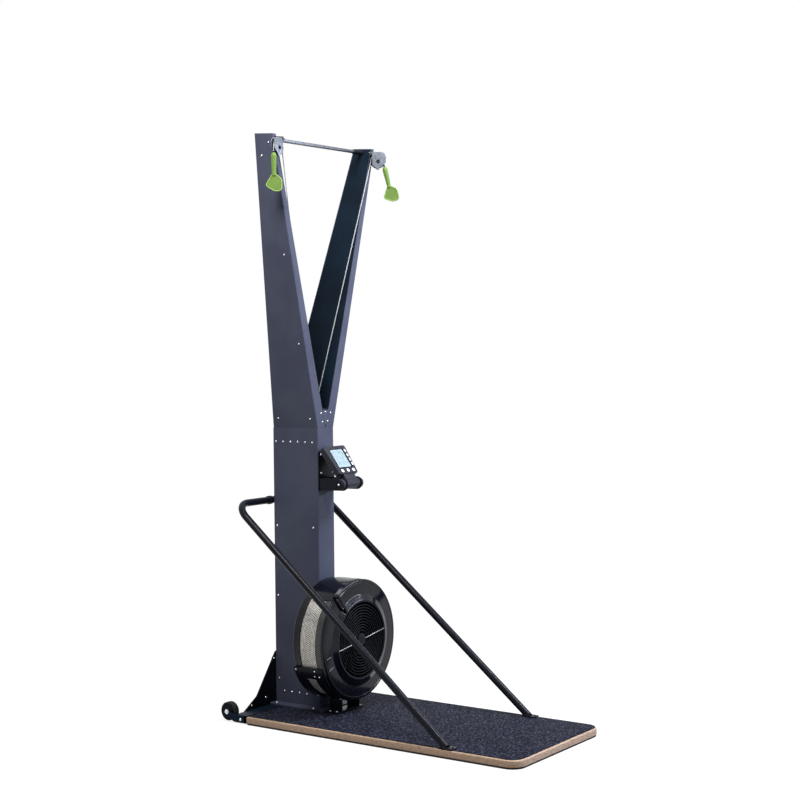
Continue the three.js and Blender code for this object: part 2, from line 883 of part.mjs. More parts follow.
function makePulleyMount(name, sign) {
  const swivel = swivelPlace();
  const lugBottom = pulleyHeight + cheekTopHeight + seat;
  const lugTop = lugBottom + lugThickness;
  const strip = (height) => {
    const { inner, front } = armAt(height);
    const near = sign * (inner + mountStripInset);
    const far = sign * (inner + mountStripInset + mountStripWidth);
    const rear = front - seat;
    return [
      vector(near, rear - mountStripThickness, height),
      vector(far, rear - mountStripThickness, height),
      vector(far, rear, height),
      vector(near, rear, height),
    ];
  };
  const [nearCorner, farCorner, farRear] = strip(lugTop);
  const lug = plate(rounded([
    [sign * (swivel.x - lugEye), swivel.y - lugEye, lugEye],
    [sign * (swivel.x + lugEye), swivel.y - lugEye, lugEye],
    [farCorner.x, farCorner.y],
    [farRear.x, farRear.y],
    [nearCorner.x, farRear.y],
    [sign * (swivel.x - lugEye), swivel.y + lugEye, lugEye],
  ]), flatZ, [lugBottom, lugTop]);
  const headTop = pulleyHeight + cheekTopHeight - knuckleHeight - seat;
  const headBottom = headTop - studHeadHeight;
  const stud = turned([
    [0, headBottom],
    [studHeadRadius, headBottom],
    [studHeadRadius, headTop],
    [studRadius, headTop],
    [studRadius, lugBottom + lugThickness / 2],
    [0, lugBottom + lugThickness / 2],
  ], tubeSides, 'z', vector(sign * swivel.x, swivel.y, 0));
  const body = join(loft([strip(pulleyHeight - mountStripDrop), strip(lugTop)]), lug, stud);
  add(`pulley_mount_${name}`, body, finishes.silver);
}

// In the bracket's own frame the swivel axis is the Z axis and the pulley reaches along -Y
function makePulleyBracket(name, carrier) {
  const cheekInner = pulleyHalfWidth + cheekGap;
  const cheekOuter = cheekInner + cheekThickness;
  const outline = rounded([
    [knuckleBack, cheekTopHeight, cheekCorner],
    [-cheekReach, cheekTopHeight, cheekRound],
    [-cheekReach, -cheekNoseDrop, cheekCorner],
    [-cheekToeReach, -cheekToeDrop, cheekCorner],
    [-cheekHeelReach, -cheekHeelDrop, cheekCorner],
    [-cheekHeelReach, cheekTopHeight - knuckleHeight],
    [knuckleBack, cheekTopHeight - knuckleHeight],
  ]);
  const cheeks = [[-cheekOuter, -cheekInner], [cheekInner, cheekOuter]];
  const knuckle = block(
    [-cheekOuter, cheekOuter],
    [-knuckleFront, knuckleBack],
    [cheekTopHeight - knuckleHeight, cheekTopHeight],
  );
  const webTop = webThickness - cheekToeDrop;
  const webBack = -cheekToeReach + webLength / 2;
  const web = block(
    [-cheekOuter, cheekOuter],
    [webBack - webLength, webBack],
    [-cheekToeDrop, webTop],
  );
  const pinPlace = vector(0, -pulleyCordRadius, 0);
  const pin = rod(pinRadius, [-cheekOuter, cheekOuter], 'x', pinPlace, tubeSides);
  const boreSize = boreRadius(studRadius + seat, tubeSides);
  const boreSpan = [cheekTopHeight - knuckleHeight - overrun, cheekTopHeight + overrun];
  const bore = rod(boreSize, boreSpan, 'z', vector(0, 0, 0), tubeSides);
  const plates = cheeks.map((span) => plate(outline, flatX, span));
  add(`pulley_bracket_${name}`, cut(join(knuckle, web, pin, ...plates), bore), finishes.silver, carrier);

  const floor = pulleyCordRadius - cordRadius - seat;
  const axleBore = boreRadius(pinRadius + seat, turnSides);
  const pulley = turned([
    [axleBore, -pulleyHalfWidth],
    [pulleyRadius, -pulleyHalfWidth],
    [pulleyRadius, -grooveHalfMouth],
    [floor, -grooveHalfFloor],
    [floor, grooveHalfFloor],
    [pulleyRadius, grooveHalfMouth],
    [pulleyRadius, pulleyHalfWidth],
    [axleBore, pulleyHalfWidth],
  ], turnSides, 'x', pinPlace);
  add(`pulley_${name}`, pulley, finishes.black, carrier);

  const wrap = Array.from({ length: wrapSteps + 1 }, (_, step) => {
    const angle = (step / wrapSteps) * Math.PI;
    const reach = pulleyCordRadius * (1 - Math.cos(angle));
    return vector(0, -reach, pulleyCordRadius * Math.sin(angle));
  });
  add(`cord_wrap_${name}`, tube(wrap, cordRadius, cordSides), finishes.cord, carrier);

  const tail = [
    vector(0, -2 * pulleyCordRadius, -handleTopDrop + seat),
    vector(0, -2 * pulleyCordRadius, -seat),
  ];
  add(`cord_tail_${name}`, tube(tail, cordRadius, cordSides), finishes.cord, carrier);
}

function makeHandle(name, hanger) {
  const shaft = turned([
    [0, 0],
    [handleNoseRadius, 0],
    [handleTopRadius, -handleNoseHeight],
    [handleEndRadius, -handleShaftLength],
    [0, -handleShaftLength],
  ], turnSides, 'z');
  const start = -handleShaftLength;
  const outline = rounded([
    [-handleEndRadius, start + paddleOverlap],
    [-paddleTipReach, start - paddleTipDrop, paddleTipRound],
    [0, start - paddleHeight, paddleRound],
    [paddleHeelReach, start - paddleHeight, paddleRound],
    [paddleHeelReach, start - paddleHeelDrop, paddleRound],
    [handleEndRadius, start + paddleOverlap],
  ]);
  const paddle = plate(outline, flatY, [-paddleThickness / 2, paddleThickness / 2]);
  const holePlace = vector(-paddleHoleReach, 0, start - paddleTipDrop);
  const hole = rod(paddleHoleRadius, [-overrun, overrun], 'y', holePlace, cordSides);
  add(`handle_${name}`, cut(join(shaft, paddle), hole), finishes.green, hanger);
}

function makeCords() {
  const swivel = swivelPlace();
  for (const { name, sign, toeOut, handleTurn, lean } of sides) {
    makePulleyMount(name, sign);

    const carrier = new THREE.Group();
    carrier.position.set(sign * swivel.x, swivel.y, pulleyHeight);
    carrier.rotation.z = radians(sign * toeOut);
    machine.add(carrier);
    makePulleyBracket(name, carrier);

    const hanger = new THREE.Group();
    hanger.position.set(0, -2 * pulleyCordRadius, -handleTopDrop);
    hanger.rotation.set(0, radians(-lean), radians(handleTurn - sign * toeOut), 'ZYX');
    carrier.add(hanger);
    makeHandle(name, hanger);

    const top = vector(sign * swivel.x, swivel.y, pulleyHeight);
    const guide = vector(sign * cordGuideX(), cordEntryY, guideTop);
    const way = guide.clone().sub(top);
    const start = top.clone().addScaledVector(way, cordRadius / 2 / way.length());
    const drumY = cordEntryY + sign * (drumHalfGap + drumFlangeWidth + drumCordWidth / 2);
    const drum = vector(drumCordRadius, drumY, shaftHeight);
    add(`cord_${name}`, tube([start, guide, drum], cordRadius, cordSides), finishes.cord);
  }
}

// Fan housing

function makeHousing() {
  const bevelFloor = fanFront + bevelDepth;
  const roundSteps = Array.from({ length: cornerSteps + 1 }, (_, step) => {
    const angle = (step / cornerSteps) * (Math.PI / 2);
    return [
      shellRadius - shellEdgeReach * (1 - Math.cos(angle)),
      fanFront + shellEdgeDepth * (1 - Math.sin(angle)),
    ];
  });
  const grooveInner = damperGrooveRadius - shellWall;
  const bandInner = bandRadius - bandWall;
  const shell = turned([
    [ringRadius, ringRear],
    [ringRadius, ringFront],
    [damperGrooveRadius, ringFront],
    [damperGrooveRadius, shellRear],
    [shellRadius, shellRear],
    ...roundSteps,
    [bevelRadius, fanFront],
    [grilleBore, bevelFloor],
    [grilleBore, bevelFloor + grilleSeatDepth],
    [grilleBore + shellWall, bevelFloor + grilleSeatDepth],
    [bevelRadius + shellWall, fanFront + shellWall],
    [shellRadius - shellEdgeReach, fanFront + shellWall],
    [grooveInner, fanFront + shellEdgeDepth],
    [grooveInner, ringFront + shellWall],
    [bandInner, ringFront + shellWall],
    [bandInner, ringRear],
  ], fanSides, 'y', fanCentre);
  add('fan_front_shell', shell, finishes.black);

  const band = turned([
    [bandRadius, bandFront],
    [bandRadius, bandRear],
    [bandInner, bandRear],
    [bandInner, bandFront],
  ], fanSides, 'y', fanCentre);
  add('fan_band', band, finishes.silver);

  const noseHole = boreRadius(bearingNoseRadius + seat, fanSides);
  const dish = turned([
    [dishRadius, dishFront],
    [dishRadius, dishFront + dishRimDepth],
    [dishFloorRadius, dishRear],
    [noseHole, dishRear],
    [noseHole, dishRear - shellWall],
    [dishFloorRadius - shellWall, dishRear - shellWall],
    [bandInner, dishFront + dishRimDepth - shellWall],
    [bandInner, dishFront],
  ], fanSides, 'y', fanCentre);
  add('fan_back_dish', dish, finishes.black);
}

// A bar that points out from the fan's axis at an angle from +X towards +Z
function radialBar([inner, outer], [front, rear], width, angle) {
  const geometry = new THREE.BoxGeometry(outer - inner, rear - front, width);
  geometry.translate((inner + outer) / 2, (front + rear) / 2, 0);
  geometry.rotateY(-radians(angle));
  geometry.translate(0, 0, shaftHeight);
  return solid(geometry);
}

function makeDamper() {
  const inner = boreRadius(damperGrooveRadius + runningGap, fanSides);
  const front = shellRear + seat;
  const rear = ringFront - seat;
  const ring = turned([
    [inner, front],
    [damperRingRadius, front],
    [damperRingRadius, rear],
    [inner, rear],
  ], fanSides, 'y', fanCentre);
  const armRear = fanFront - leverStandoff;
  const armFront = armRear - leverThickness;
  const outside = shellRadius + leverStandoff;
  const root = radialBar([inner + shellWall, leverTip], [front, rear], leverWidth, leverAngle);
  const bridge = radialBar([outside, leverTip], [armFront, rear], leverWidth, leverAngle);
  const arm = radialBar([leverReach, leverTip], [armFront, armRear], leverWidth, leverAngle);
  add('damper_ring', join(ring, root, bridge, arm), finishes.black);
}

function makeGrille() {
  const front = fanFront + bevelDepth + seat;
  const rimOuter = grilleBore - seat;
  const rimInner = rimOuter - grilleRimWidth;
  const pitch = (rimInner - grilleHubRadius) / (grilleRings + 1);
  const rear = front + grilleRingDepth;
  const rim = turned([
    [rimInner, front],
    [rimOuter, front],
    [rimOuter, rear],
    [rimInner, rear],
  ], fanSides, 'y', fanCentre);
  const rings = Array.from({ length: grilleRings }, (_, k) => {
    const middle = grilleHubRadius + pitch * (k + 1);
    const half = grilleRingWidth / 2;
    return turned([[middle - half, rear], [middle, front], [middle + half, rear]], fanSides, 'y', fanCentre);
  });
  const hub = rod(grilleHubRadius, [front, front + grilleHubDepth], 'y', fanCentre, turnSides);
  const reach = [grilleHubRadius / 2, rimOuter - grilleRimWidth / 2];
  const depth = [front + seat, rear - seat];
  const spokes = [0, 180].map((turn) => {
    return radialBar(reach, depth, grilleSpokeWidth, grilleSpokeAngle + turn);
  });
  add('fan_grille', join(hub, rim, ...rings, ...spokes), finishes.black);
}

// Fan wheel, shaft, bearings and drums

function bladeOutline(turn) {
  const edge = (offset) => Array.from({ length: bladeSteps + 1 }, (_, step) => {
    const share = step / bladeSteps;
    const radius = lerp(bladeInner, wheelDiscRadius, share);
    const angle = radians(turn + bladeLead * share * share) + offset / radius;
    return new THREE.Vector2(radius * Math.cos(angle), radius * Math.sin(angle) + shaftHeight);
  });
  return [...edge(-bladeThickness / 2), ...edge(bladeThickness / 2).reverse()];
}

function makeDrive() {
  const discRear = bandRear - wheelDiscBackGap;
  const discFront = discRear - wheelDiscThickness;
  const hubRear = discRear + wheelDiscBackGap / 2;
  const hubFront = hubRear - wheelHubLength;
  const bore = boreRadius(shaftRadius + seat, turnSides);
  const disc = turned([
    [bore, hubFront],
    [wheelHubOuter, hubFront],
    [wheelHubOuter, discFront],
    [wheelDiscRadius, discFront],
    [wheelDiscRadius, discRear],
    [wheelHubOuter, discRear],
    [wheelHubOuter, hubRear],
    [bore, hubRear],
  ], fanSides, 'y', fanCentre);
  const bladeSpan = [discFront - bladeDepth, discFront + wheelDiscThickness / 2];
  const blades = Array.from({ length: fanBlades }, (_, k) => {
    return plate(bladeOutline((k / fanBlades) * 360), flatY, bladeSpan);
  });
  add('flywheel', join(disc, ...blades), finishes.darkSteel);

  const drumEnd = drumHalfGap + drumCordWidth + bungeeDrumWidth + 3 * drumFlangeWidth;
  const plateFront = cordEntryY + drumEnd + bearingPlateGap;
  const plateRear = plateFront + bearingPlateThickness;
  const shaftSpan = [hubFront - shaftFrontStub, plateRear + shaftRearStub];
  add('drive_shaft', rod(shaftRadius, shaftSpan, 'y', fanCentre, turnSides), finishes.silver);

  const runningBore = boreRadius(shaftRadius + runningGap, turnSides);
  const flangeFront = columnFront + sheetWall + seat;
  const bearing = turned([
    [runningBore, dishRear - shellWall],
    [bearingNoseRadius, dishRear - shellWall],
    [bearingNoseRadius, flangeFront],
    [bearingFlangeRadius, flangeFront],
    [bearingFlangeRadius, flangeFront + bearingFlangeDepth],
    [runningBore, flangeFront + bearingFlangeDepth],
  ], turnSides, 'y', fanCentre);
  add('bearing_front', bearing, finishes.silver);

  const plateHalf = columnHalf - sheetWall - seat;
  const bearingPlate = block(
    [-plateHalf, plateHalf],
    [plateFront, plateRear],
    [shaftHeight - bearingPlateHalfHeight, shaftHeight + bearingPlateHalfHeight],
  );
  const plateBore = rod(runningBore, [plateFront - overrun, plateRear + overrun], 'y', fanCentre);
  add('bearing_rear', cut(bearingPlate, plateBore), finishes.darkSteel);

  const cordFloor = drumCordRadius - cordRadius - seat;
  const bungeeFloor = bungeeDrumRadius - bungeeRadius - seat;
  const widths = [
    [drumFlangeRadius, drumFlangeWidth],
    [cordFloor, drumCordWidth],
    [drumFlangeRadius, drumFlangeWidth],
    [bungeeFloor, bungeeDrumWidth],
    [drumFlangeRadius, drumFlangeWidth],
  ];
  for (const { name, sign } of sides) {
    let along = drumHalfGap;
    const profile = [[runningBore, along]];
    for (const [radius, width] of widths) {
      profile.push([radius, along], [radius, along + width]);
      along += width;
    }
    profile.push([runningBore, along]);
    const placed = profile.map(([radius, place]) => [radius, cordEntryY + sign * place]);
    add(`cord_drum_${name}`, turned(placed, turnSides, 'y', fanCentre), finishes.darkSteel);
  }
}

// One elastic return cord: up from one drum, over its anchor and down to the other drum
function makeReturn() {
  const loop = drumHalfGap + 2 * drumFlangeWidth + drumCordWidth + bungeeDrumWidth / 2;
  const x = -bungeeDrumRadius;
  const arch = Array.from({ length: loopSteps + 1 }, (_, step) => {
    const angle = (step / loopSteps) * Math.PI;
    return vector(x, cordEntryY - loop * Math.cos(angle), bungeeTop + loop * Math.sin(angle));
  });
  const route = [
    vector(x, cordEntryY - loop, shaftHeight),
    ...arch,
    vector(x, cordEntryY + loop, shaftHeight),
  ];
  add('return_cord', tube(route, bungeeRadius, cordSides), finishes.rubber);

  const anchorRadius = loop - bungeeRadius - seat;
  const anchorStart = sheetWall + seat - columnHalf;
  const flangeStart = x + bungeeRadius + seat;
  const anchor = turned([
    [0, anchorStart],
    [anchorFlangeRadius, anchorStart],
    [anchorFlangeRadius, anchorStart + anchorFlangeWidth],
    [anchorRadius, anchorStart + anchorFlangeWidth],
    [anchorRadius, flangeStart],
    [anchorFlangeRadius, flangeStart],
    [anchorFlangeRadius, flangeStart + anchorFlangeWidth],
    [0, flangeStart + anchorFlangeWidth],
  ], turnSides, 'x', vector(0, cordEntryY, bungeeTop));
  add('return_anchor', anchor, finishes.darkSteel);
}

// Cradle under the fan

function sector([inner, outer], [start, end], steps) {
  const edge = (radius) => Array.from({ length: steps + 1 }, (_, step) => {
    const angle = radians(lerp(start, end, step / steps));
    return new THREE.Vector2(radius * Math.cos(angle), radius * Math.sin(angle) + shaftHeight);
  });
  return [...edge(inner), ...edge(outer).reverse()];
}

function makeCradle() {
  const span = 2 * (270 - cradleStartAngle);
  const inner = (dishRadius + seat) / Math.cos(radians(span / cradleSteps / 2));
  const outer = inner + cradleThickness;
  const front = bandFront + cradleFrontGap;
  const rear = columnFront - footFrontMargin - cradleRearGap;
  const endAngle = cradleStartAngle + span;
  const arc = plate(sector([inner, outer], [cradleStartAngle, endAngle], cradleSteps), flatY, [front, rear]);
  const windowDepth = [front + cradleWindowMargin, rear - cradleWindowMargin];
  const windowRadii = [inner - overrun, outer + overrun];
  const windows = [
    [cradleWindowStart, cradleWindowEnd],
    [540 - cradleWindowEnd, 540 - cradleWindowStart],
  ].map((angles) => plate(sector(windowRadii, angles, cornerSteps), flatY, windowDepth));

  const footBottom = boardTop + seat;
  const footTop = footBottom + cradleFootThickness;
  const foot = block([-cradleFootHalf, cradleFootHalf], [front, rear], [footBottom, footTop]);
  const legTop = shaftHeight - inner / 2;
  const legs = cut(
    block([-cradleLegHalf, cradleLegHalf], [front, rear], [footBottom, legTop]),
    block(
      [cradleLegWall - cradleLegHalf, cradleLegHalf - cradleLegWall],
      [front - overrun, rear + overrun],
      [footTop, legTop + overrun],
    ),
    rod(inner, [front - overrun, rear + overrun], 'y', fanCentre, fanSides),
  );
  const body = join(cut(arc, ...windows), foot, legs);
  add('fan_cradle', body, finishes.black);
}

// Braces

function makeBraces() {
  const cornerY = columnRear + seat + braceRadius;
  const plateBottom = boardTop + seat;
  for (const { name, sign } of sides) {
    const foot = vector(sign * braceFootX, braceFootY, boardTop);
    const corner = vector(sign * braceCornerX, cornerY, braceCornerHeight);
    const middle = vector(sign * braceMiddleGap, cornerY, braceCornerHeight);
    const way = foot.clone().sub(corner).normalize();
    const start = foot.clone().addScaledVector(way, braceRadius);
    const route = [start, ...bend(foot, corner, middle, braceBend), middle];
    const pipe = tube(route, braceRadius, tubeSides, braceRadius - braceWall);
    const half = bracePlateWidth / 2;
    const outline = rounded([
      [sign * braceFootX - half, braceFootY - bracePlateFront, bracePlateCorner],
      [sign * braceFootX + half, braceFootY - bracePlateFront, bracePlateCorner],
      [sign * braceFootX + half, braceFootY + bracePlateBack, bracePlateCorner],
      [sign * braceFootX - half, braceFootY + bracePlateBack, bracePlateCorner],
    ]);
    const footPlate = plate(outline, flatZ, [plateBottom, plateBottom + bracePlateThickness]);
    const below = block(
      [sign * braceFootX - bracePlateWidth, sign * braceFootX + bracePlateWidth],
      [braceFootY - boardWidth / 2, braceFootY + boardWidth / 2],
      [plateBottom - boardWidth / 2, plateBottom + bracePlateThickness / 2],
    );
    add(`brace_${name}`, join(cut(pipe, below), footPlate), finishes.black);
  }
}

// Monitor

function makeBracket(pivotY) {
  const rear = columnFront - seat;
  const front = rear - bracketThickness;
  const outline = rounded([
    [-columnHalf, bracketBottom, bracketCorner],
    [columnHalf, bracketBottom, bracketCorner],
    [columnHalf, bracketTop, bracketCorner],
    [-columnHalf, bracketTop, bracketCorner],
  ]);
  const base = plate(outline, flatY, [front, rear]);
  const pivot = vector(0, pivotY, pivotHeight);
  const armFoot = bracketBottom + bracketThickness;
  const arms = [];
  for (const { sign } of sides) {
    const spans = [sign * bracketArmInner, sign * (bracketArmInner + bracketArmThickness)];
    const ordered = spans.sort((a, b) => a - b);
    const web = plate(rounded([
      [pivotY, pivotHeight - bracketEyeRadius + bracketArmThickness],
      [rear - bracketThickness / 2, armFoot],
      [rear - bracketThickness / 2, armFoot + bracketArmRise],
      [pivotY, pivotHeight + bracketEyeRadius - bracketArmThickness],
    ]), flatX, ordered);
    arms.push(web, rod(bracketEyeRadius, ordered, 'x', pivot));
  }
  const bore = boreRadius(pivotTubeRadius + runningGap, turnSides);
  const reach = bracketArmInner + bracketArmThickness + overrun;
  add('monitor_bracket', cut(join(base, ...arms), rod(bore, [-reach, reach], 'x', pivot)), finishes.black);
}

function caseRing(inset, depth) {
  const bottom = caseRise + inset;
  const top = caseRise + caseHeight - inset;
  return rounded([
    [inset - caseBottomHalf, bottom, caseCorner],
    [caseBottomHalf - inset, bottom, caseCorner],
    [caseTopHalf - inset, top, caseCorner],
    [inset - caseTopHalf, top, caseCorner],
  ]).map((point) => vector(point.x, depth, point.y));
}

// In the monitor's own frame the pivot is the X axis and the display faces -Y
function makeMonitor() {
  const pivotY = columnFront - pivotForward;
  makeBracket(pivotY);
  const monitor = new THREE.Group();
  monitor.position.set(0, pivotY, pivotHeight);
  monitor.rotation.x = -radians(monitorTilt);
  machine.add(monitor);

  const tubeHalf = pivotTubeLength / 2;
  const knobEnd = -tubeHalf - knobStepLength - knobLength;
  const barrel = turned([
    [0, knobEnd],
    [knobRadius, knobEnd],
    [knobRadius, -tubeHalf - knobStepLength],
    [knobStepRadius, -tubeHalf - knobStepLength],
    [knobStepRadius, -tubeHalf],
    [pivotTubeRadius, -tubeHalf],
    [pivotTubeRadius, tubeHalf],
    [0, tubeHalf],
  ], turnSides, 'x');
  add('pivot_tube', barrel, finishes.black, monitor);

  const face = -caseFrontReach;
  const back = face + caseDepth;
  const shell = loft([
    caseRing(caseFrontEdge, face),
    caseRing(0, face + caseFrontEdge),
    caseRing(0, back - caseBackEdge),
    caseRing(caseBackEdge, back),
  ]);
  const neckTop = caseRise + caseBackEdge + caseFrontEdge;
  const neckFront = face + caseFrontEdge;
  const neck = cut(
    block([-neckHalf, neckHalf], [neckFront, neckFront + neckDepth - caseFrontEdge], [neckBottom, neckTop]),
    rod(boreRadius(pivotTubeRadius + seat, turnSides), [-neckHalf - overrun, neckHalf + overrun], 'x'),
  );
  const displayTop = caseRise + caseHeight;
  const screen = (gap) => rounded([
    [gap - lcdLeft, displayTop - lcdTopDrop - lcdHeight + gap, lcdCorner],
    [lcdRight - gap, displayTop - lcdTopDrop - lcdHeight + gap, lcdCorner],
    [lcdRight - gap, displayTop - lcdTopDrop - gap, lcdCorner],
    [gap - lcdLeft, displayTop - lcdTopDrop - gap, lcdCorner],
  ]);
  const recess = plate(screen(0), flatY, [face - overrun, face + lensRecess]);
  const lensRear = face + lensRecess - seat;
  add('lcd_lens', plate(screen(seat), flatY, [lensRear - lensThickness, lensRear]), finishes.lcd, monitor);

  const pockets = [];
  const buttonFront = face - buttonProud;
  for (let k = 0; k < buttonCount; k += 1) {
    const x = buttonShift + (k - (buttonCount - 1) / 2) * buttonPitch;
    const place = vector(x, 0, displayTop - buttonDrop);
    const pocketRadius = boreRadius(buttonRadius + seat, turnSides);
    pockets.push(rod(pocketRadius, [face - overrun, face + pocketDepth], 'y', place));
    const button = turned([
      [0, buttonFront],
      [buttonRadius - buttonEdge, buttonFront],
      [buttonRadius, buttonFront + buttonEdge],
      [buttonRadius, buttonFront + buttonDepth],
      [0, buttonFront + buttonDepth],
    ], turnSides, 'y', place);
    add(`button_${k + 1}`, button, finishes.key, monitor);
  }
  for (let k = 0; k < keyCount; k += 1) {
    const middle = displayTop - keyFirstDrop - k * keyPitch;
    const keyOutline = (gap) => rounded([
      [keySide - keyWidth / 2 - gap, middle - keyHeight / 2 - gap, keyCorner],
      [keySide + keyWidth / 2 + gap, middle - keyHeight / 2 - gap, keyCorner],
      [keySide + keyWidth / 2 + gap, middle + keyHeight / 2 + gap, keyCorner],
      [keySide - keyWidth / 2 - gap, middle + keyHeight / 2 + gap, keyCorner],
    ]);
    pockets.push(plate(keyOutline(seat), flatY, [face - overrun, face + pocketDepth]));
    const key = plate(keyOutline(0), flatY, [buttonFront, buttonFront + buttonDepth]);
    add(`key_${k + 1}`, key, finishes.key, monitor);
  }
  add('monitor_case', cut(join(shell, neck), recess, ...pockets), finishes.black, monitor);
}

makeBoard();
makeRear();
makeColumn();
makeArms();
makeThroat();
makeCrossbar();
makeCords();
makeHousing();
makeDamper();
makeGrille();
makeDrive();
makeReturn();
makeCradle();
makeBraces();
makeMonitor();

export default machine;
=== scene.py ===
"""Ski trainer machine: the looks of its board, column, arms, cords, air fan, brace and monitor.

Every table is in millimetres: x to the right, y from the board's front edge to the rear, z up.
Meshes are put into metres, with the origin on the floor under the middle of the board.
"""

import logging
from dataclasses import dataclass, field
from enum import Enum
from typing import Any, Callable, Sequence

import bmesh
import bpy
import numpy as np
from mathutils import Matrix


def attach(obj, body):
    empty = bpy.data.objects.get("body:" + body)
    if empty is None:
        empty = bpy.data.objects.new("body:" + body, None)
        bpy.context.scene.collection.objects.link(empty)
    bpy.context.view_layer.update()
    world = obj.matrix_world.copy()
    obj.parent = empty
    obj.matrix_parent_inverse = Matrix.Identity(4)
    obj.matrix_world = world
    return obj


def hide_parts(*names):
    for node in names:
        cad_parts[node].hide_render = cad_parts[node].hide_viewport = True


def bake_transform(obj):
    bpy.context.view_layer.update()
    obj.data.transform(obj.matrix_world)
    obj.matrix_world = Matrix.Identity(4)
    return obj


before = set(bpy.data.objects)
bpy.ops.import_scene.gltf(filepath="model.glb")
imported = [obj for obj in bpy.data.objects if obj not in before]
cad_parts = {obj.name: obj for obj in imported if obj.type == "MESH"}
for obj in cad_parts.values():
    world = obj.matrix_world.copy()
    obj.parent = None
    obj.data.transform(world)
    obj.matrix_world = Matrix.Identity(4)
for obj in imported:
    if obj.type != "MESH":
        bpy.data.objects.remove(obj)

Array = np.ndarray
Pair = tuple[float, float]
Triple = tuple[float, float, float]
Noise = tuple[float, int, float, float]
Socket = bpy.types.NodeSocket
Sockets = bpy.types.NodeOutputs
Tree = bpy.types.NodeTree
Inputs = dict[str | int, Any]

LOG = logging.getLogger("ski_trainer")
METRES = 0.001
PER_METRE = 1000
MIDDLE = np.array([0, 572.0, 0])
MERGE = 0.000005
SIDES = ((-1, "left"), (1, "right"))
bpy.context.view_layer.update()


class Axis(Enum):
    """The direction that a turned or flat form runs along, with its two cross directions."""

    X = ((0, 1, 0), (0, 0, 1), (1, 0, 0))
    Y = ((1, 0, 0), (0, 0, 1), (0, 1, 0))
    Z = ((1, 0, 0), (0, 1, 0), (0, 0, 1))

    def place(self, across: Array, up: Array, along: Array) -> Array:
        """Points at across, up and along, which are spread to one shape."""
        first, second, third = np.array(self.value, float)
        return across[..., None] * first + up[..., None] * second + along[..., None] * third


class Head(Enum):
    """Fastener heads, as tables of (radius share, height share)."""

    BUTTON = ((0, 0), (1.0, 0), (1.0, 0.18), (0.9, 0.55), (0.66, 0.9), (0.5, 1.0))
    HEX = ((0, 0), (1.35, 0), (1.35, 0.14), (1.0, 0.2), (1.0, 0.92), (0.93, 1.0), (0.5, 1.0))


# Shapes


@dataclass
class Form:
    """Points in millimetres and the faces on them.

    Args:
        points: (count, 3) points.
        faces: one (faces, corners) table of point numbers for each number of corners.
        charts: one (faces, corners, 2) table of surface coordinates for each table of faces.
    """

    points: Array
    faces: list[Array]
    charts: list[Array] = field(default_factory=list)

    def __post_init__(self) -> None:
        """Gives faces without surface coordinates a chart of zeros."""
        if not self.charts:
            self.charts = [np.zeros((*table.shape, 2)) for table in self.faces]

    def moved(self, turn: Array, offset: Array | Triple) -> "Form":
        """The form turned by a 3 x 3 matrix and then moved by an offset."""
        return Form(self.points @ np.asarray(turn).T + np.asarray(offset), self.faces, self.charts)

    def copies(self, places: Sequence[Triple]) -> "Form":
        """Repeats the form.

        Args:
            places: where each copy's origin goes.

        Returns:
            All copies as one form.
        """
        spots = np.asarray(places, float).reshape(-1, 3)
        points = (self.points[None] + spots[:, None]).reshape(-1, 3)
        steps = np.arange(len(spots))[:, None, None] * len(self.points)
        faces = [(table[None] + steps).reshape(-1, table.shape[1]) for table in self.faces]
        return Form(points, faces, [np.tile(chart, (len(spots), 1, 1)) for chart in self.charts])


def joined(*forms: Form) -> Form:
    """Joins forms and renumbers their faces.

    Args:
        forms: the forms, in order.

    Returns:
        One form.
    """
    starts = np.cumsum([0] + [len(form.points) for form in forms])
    faces = [table + start for form, start in zip(forms, starts) for table in form.faces]
    charts = [chart for form in forms for chart in form.charts]
    return Form(np.concatenate([form.points for form in forms]), faces, charts)


def corners_of(table: Array) -> Array:
    """The four corner values of each cell of a table, going round the cell."""
    cells = [table[:-1, :-1], table[:-1, 1:], table[1:, 1:], table[1:, :-1]]
    return np.stack(cells, axis=-1).reshape(-1, 4)


def grid(points: Array, wrap_rows: bool = False, wrap_columns: bool = False) -> Form:
    """Faces over a table of points: each face joins two neighbours in a row and in a column.

    Args:
        points: (rows, columns, 3) points.
        wrap_rows: whether the last row joins the first.
        wrap_columns: whether the last column joins the first.

    Returns:
        The form, whose chart runs 0 to 1 along the rows and the columns.
    """
    rows, columns = points.shape[:2]
    numbers = np.arange(rows * columns).reshape(rows, columns)
    if wrap_rows:
        numbers = np.vstack([numbers, numbers[:1]])
    if wrap_columns:
        numbers = np.hstack([numbers, numbers[:, :1]])
    high, wide = numbers.shape
    down, along = np.meshgrid(np.linspace(0, 1, high), np.linspace(0, 1, wide), indexing="ij")
    chart = np.stack([corners_of(down), corners_of(along)], axis=-1)
    return Form(points.reshape(-1, 3), [corners_of(numbers)], [chart])


def capped(rings: Array) -> Form:
    """A body through closed rings, with a flat face on both ends.

    Args:
        rings: (rings, count, 3) points.

    Returns:
        The body.
    """
    body = grid(rings, wrap_columns=True)
    count = rings.shape[1]
    ends = np.stack([np.arange(count)[::-1], np.arange(count) + (len(rings) - 1) * count])
    return Form(body.points, [*body.faces, ends], [*body.charts, np.zeros((2, count, 2))])


def circle(sides: int) -> tuple[Array, Array]:
    """The cosines and the sines of so many equal steps round a circle."""
    angle = np.linspace(0, 2 * np.pi, sides, endpoint=False)
    return np.cos(angle), np.sin(angle)


